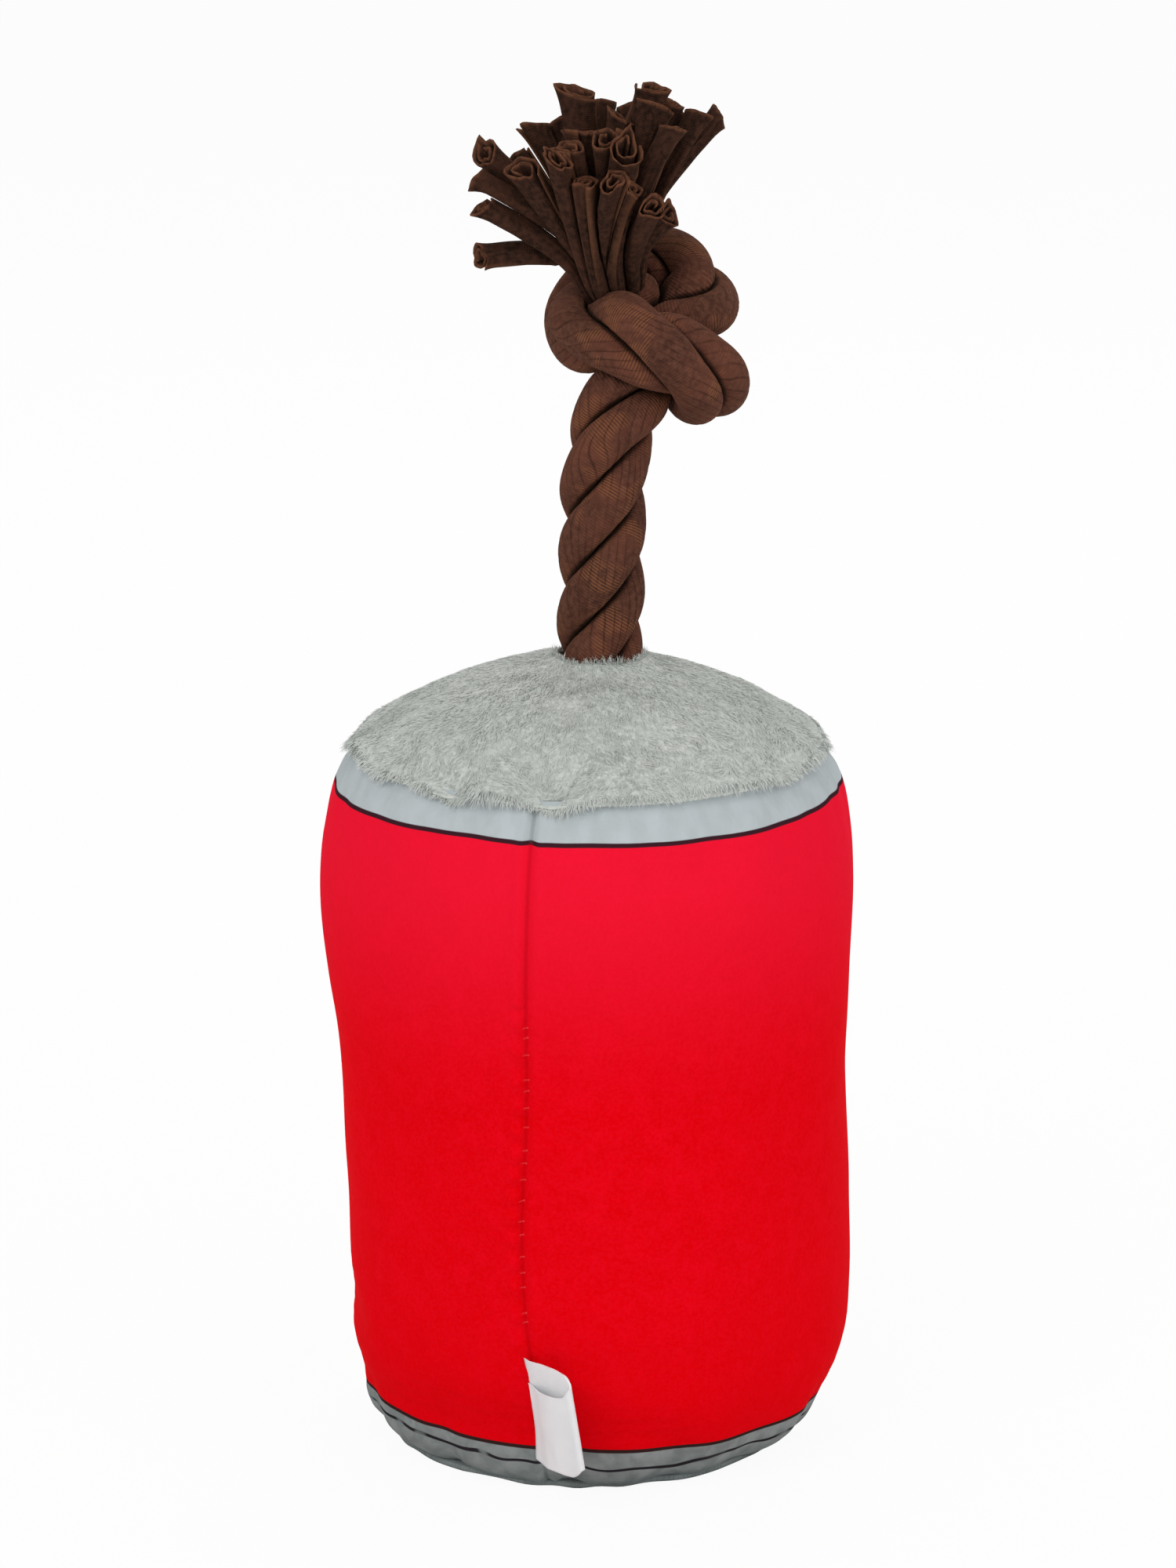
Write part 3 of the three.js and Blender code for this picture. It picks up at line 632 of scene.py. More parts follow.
def unit(vectors):
    return vectors / np.maximum(np.linalg.norm(vectors, axis=-1, keepdims=True), 1e-12)


def bell(value, width):
    return np.exp(-((value / width) ** 2))


def around(angle):
    """Level directions, from -Y towards +X."""
    return np.stack([np.sin(angle), -np.cos(angle), 0 * angle], axis=-1)


# Curves

def centripetal(points, per_span=40):
    """Points of the smooth curve that the part's source draws through its route."""
    p = np.array(points, float)
    p = np.vstack([2 * p[0] - p[1], p, 2 * p[-1] - p[-2]])
    result = []
    for a, b, c, d in zip(p, p[1:], p[2:], p[3:]):
        ab, bc, cd = (math.sqrt(np.linalg.norm(y - x)) for x, y in ((a, b), (b, c), (c, d)))
        slope_b = ((b - a) / ab - (c - a) / (ab + bc) + (c - b) / bc) * bc
        slope_c = ((c - b) / bc - (d - b) / (bc + cd) + (d - c) / cd) * bc
        t = np.linspace(0, 1, per_span, endpoint=False)[:, None]
        result.append((2 * t**3 - 3 * t**2 + 1) * b + (t**3 - 2 * t**2 + t) * slope_b
                      + (3 * t**2 - 2 * t**3) * c + (t**3 - t**2) * slope_c)
    return np.vstack([*result, p[-2:-1]])


def distances_along(points):
    steps = np.linalg.norm(np.diff(points, axis=0), axis=1)
    return np.concatenate([[0], np.cumsum(steps)])


def spaced(points, step):
    """The same line with its points an even step apart."""
    along = distances_along(points)
    even = np.linspace(0, along[-1], max(2, round(along[-1] / step) + 1))
    return np.stack([np.interp(even, along, points[:, axis]) for axis in range(3)], axis=1)


def smoothed(points, reach):
    """The line eased by a bell of neighbours, reach points wide, with its ends held."""
    span = int(3 * reach)
    weights = np.exp(-0.5 * (np.arange(-span, span + 1) / reach) ** 2)
    weights /= weights.sum()
    padded = np.vstack([np.repeat(points[:1], span, axis=0), points, np.repeat(points[-1:], span, axis=0)])
    return np.stack([np.convolve(padded[:, axis], weights, "valid") for axis in range(3)], axis=1)


def steady_frames(points, first=(1, 0, 0)):
    """Tangents and two sideways directions that turn as little as they can."""
    ways = unit(np.gradient(points, axis=0))
    side = np.array(first, float)
    sides = []
    for way in ways:
        side = unit(side - way * side.dot(way))
        sides.append(side)
    sides = np.array(sides)
    return ways, sides, np.cross(ways, sides)


def spokes(angles, sides, ups):
    """Directions round a line, one row of them at each of its points."""
    return np.cos(angles)[None, :, None] * sides[:, None, :] + np.sin(angles)[None, :, None] * ups[:, None, :]


# Rope

def rope_line():
    line = centripetal(ROPE_ROUTE)
    end_way = unit(line[-1] - line[-2])
    root = np.array(FAN_ROOT)
    middle, _, _ = fan_frame()
    third = np.linalg.norm(root - line[-1]) / 3
    t = np.linspace(0, 1, 24)[1:, None]
    bend = ((1 - t) ** 3 * line[-1] + 3 * (1 - t) ** 2 * t * (line[-1] + end_way * third)
            + 3 * (1 - t) * t**2 * (root - middle * third) + t**3 * root)
    return spaced(np.vstack([line, bend]) + (0, 0, CROWN_HEIGHT), STRAND_STEP)


def fan_frame():
    middle = np.array([
        math.sin(FAN_LEAN),
        -math.sin(FAN_TILT) * math.cos(FAN_LEAN),
        math.cos(FAN_TILT) * math.cos(FAN_LEAN),
    ])
    across = unit(np.array([1, 0, 0]) - middle * middle[0])
    return middle, across, np.cross(middle, across)


def pressed_reach(centres, ways_out, own_along, radius, others, others_along, same, gap):
    """How far each direction may go from its centre before it meets the middle between the
    centre and another point. Points of the same line count as its own bend when they are near."""
    reach = np.full(ways_out.shape[:-1], radius)
    for i, centre in enumerate(centres):
        across = others - centre
        distance = np.linalg.norm(across, axis=1)
        apart = np.abs(others_along - own_along[i])
        near = (distance < 2 * radius + gap) & (distance > SAME_POINT)
        own_bend = same & (apart < TURNS_APART)
        keep = near & ~(own_bend & (apart < radius / 2))
        if not keep.any():
            continue
        towards = across[keep] / distance[keep, None]
        room = np.where(own_bend[keep], distance[keep] / 2 * BEND_FULLNESS_SHARE, (distance[keep] - gap) / 2)
        facing = ways_out[i] @ towards.T
        limits = np.where(facing > LEAST_FACING, room / np.maximum(facing, LEAST_FACING), FAR)
        reach[i] = np.minimum(reach[i], limits.min(axis=1))
    return reach


def strand_lines(line):
    """Centre lines of the strands, laid round the rope and pressed in where its turns press."""
    along = distances_along(line)
    _, sides, ups = steady_frames(line)
    turns = smooth_line(LAY_TURNS, along)
    strands = []
    for k in range(STRAND_COUNT):
        angle = LAY_PHASE + TURN * (turns + k / STRAND_COUNT)
        out = np.cos(angle)[:, None] * sides + np.sin(angle)[:, None] * ups
        reach = pressed_reach(line, out[:, None, :], along, ROPE_DIAMETER / 2, line[::2], along[::2],
                              np.full(len(line[::2]), True), STRAND_GAP)[:, 0]
        offset = np.minimum(reach * (STRAND_OFFSET / (ROPE_DIAMETER / 2)), STRAND_OFFSET)
        strands.append(smoothed(line + out * offset[:, None], STRAND_EASE))
    return strands


def strand_mesh(index, strands, along):
    """One strand as points, how deep in a crevice they lie (for painted shade there), and its uvs: U counts
    its strips, V runs along it.
    """
    line = strands[index]
    _, sides, ups = steady_frames(line)
    angles = np.linspace(0, TURN, STRAND_SIDES + 1)
    out = spokes(angles[:-1], sides, ups)
    reach = np.full(out.shape[:-1], STRAND_RADIUS)
    room = np.full(out.shape[:-1], CREVICE_REACH)
    for k, other in enumerate(strands):
        same = np.full(len(other[::2]), k == index)
        limit = pressed_reach(line, out, along, CREVICE_REACH, other[::2], along[::2], same, STRAND_GAP)
        if k != index:
            room = np.minimum(room, limit)
        limit_share = np.exp(-np.clip((limit - STRAND_RADIUS) / CREVICE_SOFTNESS, -8, 8))
        soft = STRAND_RADIUS - CREVICE_SOFTNESS * np.log(1 + limit_share)
        reach = np.minimum(reach, np.minimum(limit, soft))
    travelled = distances_along(line)
    strip = STRIPS_IN_STRAND * (angles[None, :] / TURN + travelled[:, None] / STRIP_TWIST_LENGTH)
    wander = np.sin(TURN * travelled / STRIP_WANDER_LENGTH + index)[:, None]
    strip += STRIP_WANDER_SHARES[0] * wander * np.sin(angles * 3 + index)[None, :]
    strip += STRIP_WANDER_SHARES[1] * np.sin(angles * 2 + 5 * index)[None, :]
    crease = (1 - np.abs(np.sin(math.pi * strip[:, :-1]))) ** 3
    swell = STRAND_SWELL * np.sin(TURN * travelled / STRAND_SWELL_LENGTH + index)[:, None]
    reach = reach - STRIP_GROOVE * crease + swell * (reach > STRAND_RADIUS * 0.95)
    closing = np.clip(np.minimum(along, along[-1] - along) / STRAND_END, 0.02, 1)
    reach *= np.sqrt(closing * (2 - closing))[:, None]
    points = line[:, None, :] + out * reach[:, :, None]
    v = np.repeat(travelled[:, None] / MM, STRAND_SIDES + 1, axis=1)
    creviced = np.clip((CREVICE_REACH - room) / (CREVICE_REACH - STRAND_RADIUS), 0, 1)
    return points, creviced, strip, v


def add_ropes(line, look):
    along = distances_along(line)
    kept = along <= along[-1] - STRAND_STOP
    strands = [strand[kept] for strand in strand_lines(line)]
    cut = int(np.argmax(line[:, 2] > CROWN_HEIGHT + ROPE_SPLIT))
    lengths = {"rope_lower": slice(0, cut + 1), "rope_upper": slice(cut, None)}
    meshes = [strand_mesh(k, strands, along[kept]) for k in range(STRAND_COUNT)]
    pieces = []
    for name, rows in lengths.items():
        parts = [(points[rows], grid_faces(len(points[rows]), STRAND_SIDES), grid_uvs(strip[rows], v[rows]))
                 for points, _, strip, v in meshes]
        depths = np.concatenate([creviced[rows].ravel() for _, creviced, _, _ in meshes])
        vertices, faces, uvs = joined(parts)
        pieces.append(new_piece(name, vertices, faces, look, uvs, depths))
    return pieces


def rope_look():
    look = Look("brown_cotton", roughness=1.0, specular=0.05, sheen=0.12)
    look.set("Sheen Tint", srgb(0xB08468))
    u, v = look.uv()
    in_strip = look.math("FRACT", u)
    from_crease = look.math("MINIMUM", in_strip, look.minus(1.0, in_strip))
    # how strong the painted crease shade is, varying from place to place
    crease_shade_strength = look.rise(look.noise(95), 0.35, 0.65, 0.15, 0.6)
    ribs = look.wave(v, 0.5)
    rib_tone_and_highlight = look.times(ribs, look.rise(look.noise(140), 0.45, 0.65))
    random = look.node("TexWhiteNoise", {"W": look.math("FLOOR", u)}, noise_dimensions="1D").outputs["Value"]
    mottled = look.noise(900, 4)
    colour = look.tint(0x482D24, 0x644033, mottled, 0.3, 0.7)
    colour = look.tint(colour, 0x744536, look.noise(70, 3, distortion=0.5), 0.35, 0.7, 0.55)
    colour = look.blend(look.times(random, 0.3), colour, 0x4A2A20)
    # the rib crests are lighter: partly the yarn's own warmer tone, partly a painted highlight on the ribs
    colour = look.tint(colour, 0x94603E, rib_tone_and_highlight, 0.1, 0.9, 0.6)
    # painted shade: the creases between the rope's strips darken towards 0x22140F
    colour = look.blend(look.times(look.rise(from_crease, 0.14, 0.0), crease_shade_strength), colour, 0x22140F)
    # painted shade: the crevices between the strands darken towards 0x160D0A, with ragged edges
    depth = look.node("Attribute", attribute_name="crevice").outputs["Fac"]
    crevice_shade = look.plus(depth, look.times(look.minus(look.noise(350, 3), 0.5), 0.5))
    look.set("Base Color", look.tint(colour, 0x160D0A, crevice_shade, 0.15, 1.1, 0.9))
    first = look.bump(look.plus(look.times(ribs, 0.5), look.noise(420, 3)), RELIEF["rope ribs"], 0.7)
    look.bump(mottled, RELIEF["rope fluff"], 0.6, first)
    return look


# Stuffed body

def body_radius(height):
    pairs = [(share * BODY_HEIGHT, radius * BODY_RADIUS) for share, radius in BODY_OUTLINE_SHARES]
    return smooth_line(pairs, height)


def body_lean(height):
    return smooth_line([(share * BODY_HEIGHT, offset) for share, offset in BODY_LEAN], height)


def seam_angle(height):
    return np.radians(smooth_line([(share * BODY_HEIGHT, turn) for share, turn in SEAM_TURNS], height))


def body_points(height, angle, radius):
    """Points round the body's own middle, which leans."""
    points = around(angle) * radius[..., None]
    points[..., 0] += body_lean(height)
    points[..., 2] += height
    return points


def wrap_points(heights, from_seam, radii):
    """Points of the panel at each height and each angle from the seam, for radii (rows, columns)."""
    return body_points(heights[:, None], seam_angle(heights)[:, None] + from_seam[None, :], radii)


def simulated_swell():
    """How far the stuffed panel stands off its pattern, on a coarse grid, by cloth simulation."""
    heights = np.linspace(0, BODY_HEIGHT, SIM_ROWS)
    from_seam = np.linspace(0, TURN, SIM_COLUMNS, endpoint=False)
    start = wrap_points(heights, from_seam, np.repeat(body_radius(heights)[:, None], SIM_COLUMNS, axis=1))
    outward = unit(start * (1, 1, 0))
    crevice_shade = noise_at(start, SIM_ROUGH_SCALE, 3)[:, :, None] * SIM_ROUGHNESS * outward
    look = Look("cloth_trial", roughness=1.0)
    piece = new_piece("cloth_trial", start + crevice_shade, grid_faces(SIM_ROWS, SIM_COLUMNS), look)
    pins = piece.vertex_groups.new(name="seams")
    rows = np.arange(SIM_ROWS * SIM_COLUMNS).reshape(SIM_ROWS, SIM_COLUMNS)
    pins.add(rows[[0, 1, -1]].ravel().tolist(), 1.0, "REPLACE")
    cloth = piece.modifiers.new("cloth", "CLOTH")
    cloth.settings.vertex_group_mass = "seams"
    cloth.settings.use_pressure = True
    cloth.settings.uniform_pressure_force = SIM_PRESSURE
    cloth.settings.shrink_min = -SIM_SLACK
    cloth.settings.effector_weights.gravity = 0
    scene = bpy.context.scene
    for number in range(1, SIM_FRAMES + 1):
        scene.frame_set(number)
    settled = piece.evaluated_get(bpy.context.evaluated_depsgraph_get()).to_mesh()
    places = np.empty(len(settled.vertices) * 3)
    settled.vertices.foreach_get("co", places)
    moved = places.reshape(start.shape) - start
    scene.frame_set(1)
    bpy.data.objects.remove(piece)
    swell = (moved * outward).sum(axis=-1)
    swell = SIM_CAP * np.tanh((swell - np.median(swell)) / SIM_CAP)
    for _ in range(SIM_SMOOTHINGS):
        eased = (np.roll(swell, 1, axis=1) + 2 * swell + np.roll(swell, -1, axis=1)) / 4
        swell[1:-1] = (eased[:-2] + 2 * eased[1:-1] + eased[2:]) / 4
    return swell


def swell_at(swell, heights, from_seam):
    """The coarse grid's swell at other heights and angles."""
    row = np.clip(heights / BODY_HEIGHT, 0, 1) * (SIM_ROWS - 1)
    column = (from_seam % TURN) / TURN * SIM_COLUMNS
    i = np.clip(row.astype(int), 0, SIM_ROWS - 2)
    k = column.astype(int) % SIM_COLUMNS
    up = (row - i)[:, None]
    on = (column - column.astype(int))[None, :]
    up = up * up * (3 - 2 * up)
    on = on * on * (3 - 2 * on)
    beside = (k + 1) % SIM_COLUMNS
    low = swell[i][:, k] * (1 - on) + swell[i][:, beside] * on
    high = swell[i + 1][:, k] * (1 - on) + swell[i + 1][:, beside] * on
    return low * (1 - up) + high * up


def gathers(heights, angles, count, low, high, depth, width, seed):
    """Vertical gathers round a seam: deepest at low, gone at high."""
    rng = np.random.default_rng(seed)
    centres = (np.arange(count) + rng.uniform(-GATHER_SCATTER, GATHER_SCATTER, count)) * TURN / count
    depths = depth * rng.uniform(*GATHER_DEPTHS, count)
    widths = rng.uniform(*GATHER_WIDTHS, count) * width
    total = 0 * angles
    for centre, deep, wide in zip(centres, depths, widths):
        apart = (angles - centre + math.pi) % TURN - math.pi
        total = total + deep * bell(apart, wide)
    share = np.clip((heights - high) / (low - high), 0, 1) ** GATHER_FADE_POWER
    return total[None, :] * share[:, None]


def panel_angles():
    """Angles from the seam, closest together beside it."""
    even = np.linspace(-1, 1, PANEL_COLUMNS, endpoint=False)
    return math.pi * ((1 - PANEL_CROWDING) * even + PANEL_CROWDING * even**3)


def wrap_radii(heights, from_seam, swell):
    """The panel's outer radius with its swell, gathers and sewn seam, at each height and angle."""
    radii = body_radius(heights)[:, None] + swell_at(swell, heights, from_seam)
    rough = wrap_points(heights, from_seam, radii)
    full = np.sin(math.pi * heights / BODY_HEIGHT)[:, None]
    radii = radii + noise_at(rough, PANEL_WAVE_SCALE, 1) * PANEL_WAVE * full
    radii += noise_at(rough * (1, 1, 0.5), PANEL_RIPPLE_SCALE, 2) * PANEL_RIPPLE
    radii -= gathers(heights, from_seam, **HEM_GATHERS) + gathers(heights, from_seam, **TOP_GATHERS)
    across = (from_seam * BODY_RADIUS)[None, :]
    groove = SEAM_GROOVE * bell(across, SEAM_GROOVE_WIDTH)
    beside_seam = bell(np.abs(across) - SEAM_SHOULDER_ASIDE, SEAM_SHOULDER_WIDTH)
    shoulder = SEAM_SHOULDER_SHARE * SEAM_GROOVE * beside_seam
    drift = TUG_DRIFT * np.sin(heights / TUG_DRIFT_LENGTH)
    pull = (1 + np.cos(TURN * heights / TUG_PITCH + drift)) / 2
    pull *= (heights > TUG_LOW) & (heights < CLOSING_HIGH)
    tug = TUG * pull[:, None] * bell(across + TUG_ASIDE, TUG_WIDTH)
    beside_label = np.exp(-(((heights - LABEL_HOLLOW_HEIGHT) / LABEL_HOLLOW_RISE) ** 4))[:, None]
    hollow = LABEL_HOLLOW * beside_label * bell(across - LABEL_HOLLOW_ASIDE, LABEL_HOLLOW_ASIDE)
    return radii + shoulder * (1 - beside_label) - groove - tug - hollow


def add_wrap(swell, look):
    heights = np.concatenate([np.linspace(*rows) for rows in PANEL_ROWS])
    from_seam = panel_angles()
    radii = wrap_radii(heights, from_seam, swell)
    outer = wrap_points(heights, from_seam, radii)
    hem = np.clip(1 - heights / HEM_ROLL, 0, 1)[:, None]
    outer[:, :, 2] += hem * HEM_LIFT * (1 + noise_at(outer * (1, 1, 0), HEM_LIFT_SCALE, 9))
    outer[:, :, 2] = np.maximum(outer[:, :, 2], PANEL_LOW)
    inner = wrap_points(heights[::-INNER_ROW_STEP], from_seam, radii[::-INNER_ROW_STEP] - CLOTH)
    inner[:, :, 2] = np.maximum(inner[:, :, 2], PANEL_INNER_LOW)
    points = np.concatenate([outer, inner])
    columns = len(from_seam)
    u = np.repeat(np.append(from_seam, from_seam[0] + TURN)[None, :], len(points) + 1, axis=0)
    v = np.repeat(np.append(points[:, 0, 2], points[0, 0, 2])[:, None], columns + 1, axis=1)
    return new_piece("wrap", points, grid_faces(len(points), columns, round_rows=True), look, grid_uvs(u, v))


# Filling and stitches

def ring(radius, height, angles, middle=(0.0, 0.0)):
    """One level circle of points."""
    return around(angles) * radius + (*middle, height)


def filling_wall(low, high, rows, from_seam, swell):
    """The filling's side, just inside the panel and a little lumpy."""
    heights = np.linspace(low, high, rows)
    radii = wrap_radii(heights, from_seam, swell) - CLOTH - FILLING_GAP
    lump = noise_at(wrap_points(heights, from_seam, radii), FILLING_LUMP_SCALE, 17)
    return wrap_points(heights, from_seam, radii - FILLING_LUMP * (1 + lump) / 2)


def add_filling(name, rings, look):
    """One wad, from rings of points that go round its section from the middle and back to it."""
    points = np.stack(rings)
    faces = grid_faces(len(points), points.shape[1], round_rows=True)
    return new_piece(name, points, faces, look)


def add_lower_filling(swell, look):
    from_seam = panel_angles()[::2]
    angles = from_seam + seam_angle(np.array(0.0))
    low, high = FILLING_FLOOR, FILLING_SPLIT - FIT_GAP / 2
    floor = [ring(radius, low, angles) for radius in (NARROW, CROWN_RADIUS / 3, CROWN_RADIUS * 2 / 3)]
    top = [ring(CROWN_RADIUS, high, angles), ring(POCKET_RADIUS, high, angles)]
    pocket = [ring(POCKET_RADIUS, POCKET_LOW, angles), ring(NARROW, POCKET_LOW, angles)]
    wall = filling_wall(low, high, 60, from_seam, swell)
    return add_filling("filling_lower", [*floor, *wall, *top, *pocket], look)


def add_upper_filling(swell, look):
    from_seam = panel_angles()[::2]
    angles = from_seam + seam_angle(np.array(BODY_HEIGHT))
    low = FILLING_SPLIT + FIT_GAP / 2
    hole = ROPE_DIAMETER / 2 + FIT_GAP + FILLING_GAP
    rim = ring(CROWN_RADIUS, SKIRT_LOW, angles)
    mouth = ring(TACK_ROOM, 0.0, angles, ROPE_FOOT)
    crown = []
    for share in np.linspace(1, 0, 24):
        crown.append(plush_over(rim * share + mouth * (1 - share)) - (0, 0, PLUSH + FILLING_GAP))
    tail = TAIL_LOW - FILLING_GAP
    inside = [(NARROW, PLUG_HIGH), (PLUG_RADIUS, PLUG_HIGH), (PLUG_RADIUS, POCKET_HIGH),
              (POCKET_RADIUS, POCKET_HIGH), (POCKET_RADIUS, low), (CROWN_RADIUS, low)]
    round_rope = [(TACK_ROOM, TACK_LOW), (hole, TACK_LOW), (hole, tail), (NARROW, tail)]
    rings = [
        *(ring(radius, height, angles) for radius, height in inside),
        *filling_wall(low, SKIRT_LOW, 50, from_seam, swell), rim, *crown,
        *(ring(radius, height, angles, ROPE_FOOT) for radius, height in round_rope),
    ]
    return add_filling("filling_upper", rings, look)


def filling_look():
    look = Look("white_fibre", roughness=1.0, specular=0.05, sheen=0.3)
    tangle = look.noise(900, 5, distortion=2.0)
    strands = look.noise(260, 4, look.stretched((1, 1, 0.3)), distortion=1.5)
    colour = look.tint(0xE2E0D8, 0xF8F7F3, tangle, 0.35, 0.65)
    look.set("Base Color", look.tint(colour, 0xD6D4CC, strands, 0.35, 0.7, 0.5))
    look.bump(tangle, RELIEF["fibre tangle"], 0.8, look.bump(strands, RELIEF["fibre strands"], 0.5))
    return look


def add_stitches(swell, look):
    """The bars of the ladder stitch that closes the back seam, sunk between its two edges."""
    rng = np.random.default_rng(41)
    angles = np.linspace(0, TURN, STITCH_SIDES, endpoint=False)
    share = np.linspace(-1, 1, 11)
    reach = np.where(np.abs(share) < 1, STITCH_THREAD / 2, STITCH_THREAD / 40)
    u = np.repeat(np.linspace(0, 1, STITCH_SIDES + 1)[None, :], len(share), axis=0)
    v = np.repeat((share * CLOSING_REACH / MM)[:, None], STITCH_SIDES + 1, axis=1)
    parts = []
    for height in np.arange(CLOSING_LOW, CLOSING_HIGH, CLOSING_STITCH):
        height += rng.uniform(-STITCH_SCATTER, STITCH_SCATTER)
        slant = rng.uniform(*STITCH_SLANTS)
        from_seam = share * CLOSING_REACH / BODY_RADIUS
        radii = wrap_radii(np.array([height]), from_seam, swell)
        radii -= SEAM_THREAD * (STITCH_SUNK_SHARES[0] + STITCH_SUNK_SHARES[1] * share**4)
        bar = wrap_points(np.array([height]), from_seam, radii)[0]
        bar[:, 2] += share * CLOSING_REACH * slant
        _, sides, ups = steady_frames(bar)
        rings = bar[:, None, :] + spokes(angles, sides, ups) * reach[:, None, None]
        parts.append((rings, grid_faces(len(share), STITCH_SIDES), grid_uvs(u, v)))
    vertices, faces, uvs = joined(parts)
    return new_piece("closing_stitches", vertices, faces, look, uvs)


def stitch_look():
    look = Look("red_thread", roughness=0.8, specular=0.2, sheen=0.2)
    u, v = look.uv()
    twist = look.math("SINE", look.plus(look.times(u, TURN), look.times(v, TURN / 0.8)))
    look.set("Base Color", look.tint(0xE0000C, 0xF4182C, twist, -0.6, 0.6))
    look.bump(twist, RELIEF["stitch twist"], 0.8)
    return look


def thread_look(name, middle, radius, height, dark, light):
    """Twisted thread lying in a level ring round middle."""
    look = Look(name, roughness=0.8, specular=0.15, sheen=0.2)
    x, y, z = look.parts(look.place)
    x, y = look.minus(x, middle[0]), look.minus(y, middle[1])
    away = look.math("SQRT", look.plus(look.times(x, x), look.times(y, y)))
    round_thread = look.math("ARCTAN2", look.minus(z, height), look.minus(away, radius))
    along = look.times(look.math("ARCTAN2", y, x), float(round(radius / THREAD_TURN)))
    twist = look.math("SINE", look.plus(along, round_thread))
    colour = look.tint(dark, light, twist, -0.7, 0.7)
    look.set("Base Color", look.tint(colour, dark, look.noise(2500, 3), 0.4, 0.7, 0.3))
    look.bump(twist, RELIEF["thread twist"], 0.9)
    return look


def moulded_look(name, shade, light, roughness, flow, specular=0.5):
    """Moulded plastic with flow lines from the gate and a fine mould grain."""
    look = Look(name, roughness=roughness, specular=specular)
    lines = look.noise(1.0, 3, look.stretched((flow, flow, flow / 6)), distortion=0.8)
    grain = look.noise(1800, 3)
    colour = look.tint(shade, light, lines, 0.35, 0.65)
    look.set("Base Color", look.tint(colour, shade, grain, 0.45, 0.8, 0.2))
    look.set("Roughness", look.rise(grain, 0.3, 0.7, roughness * 0.85, roughness * 1.2))
    look.bump(grain, RELIEF["mould grain"], 0.5, look.bump(lines, RELIEF["mould flow"], 0.3))
    return look


def add_cad_looks():
    """Better materials for the CAD nodes that stay."""
    milky = moulded_look("milky_plastic", 0xDDE0E3, 0xEEF0F1, 0.4, 90)
    milky.set("Subsurface Weight", 0.3)
    milky.set("Subsurface Radius", (MILKY_DEPTH,) * 3)
    white = moulded_look("white_plastic", 0xE9E9E5, 0xF8F8F5, 0.35, 220)
    film = moulded_look("clear_film", 0xC8D0D4, 0xDFE6E9, 0.2, 400, 0.6)
    film.set("Transmission Weight", 0.5)
    looks = {"squeaker_bulb": milky, "reed_plug": white, "reed_seat": white, "reed_clamp": white,
             "reed_tongue": film}
    threads = (
        ("top_seam_thread", "grey_thread", (0.0, 0.0), SEAM_THREAD, 0x666E6E, 0x8E9696),
        ("base_seam_thread", "grey_thread_low", (0.0, 0.0), SEAM_THREAD, 0x666E6E, 0x8E9696),
        ("rope_tack_thread", "brown_thread", ROPE_FOOT, TACK_THREAD, 0x2A1811, 0x4E3226),
    )
    for node, name, middle, thread, dark, light in threads:
        low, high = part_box(node)
        radius = (high[0] - low[0] - thread) / 2
        looks[node] = thread_look(name, middle, radius, (low[2] + high[2]) / 2, dark, light)
    for node, look in looks.items():
        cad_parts[node].material_slots[0].material = look.material


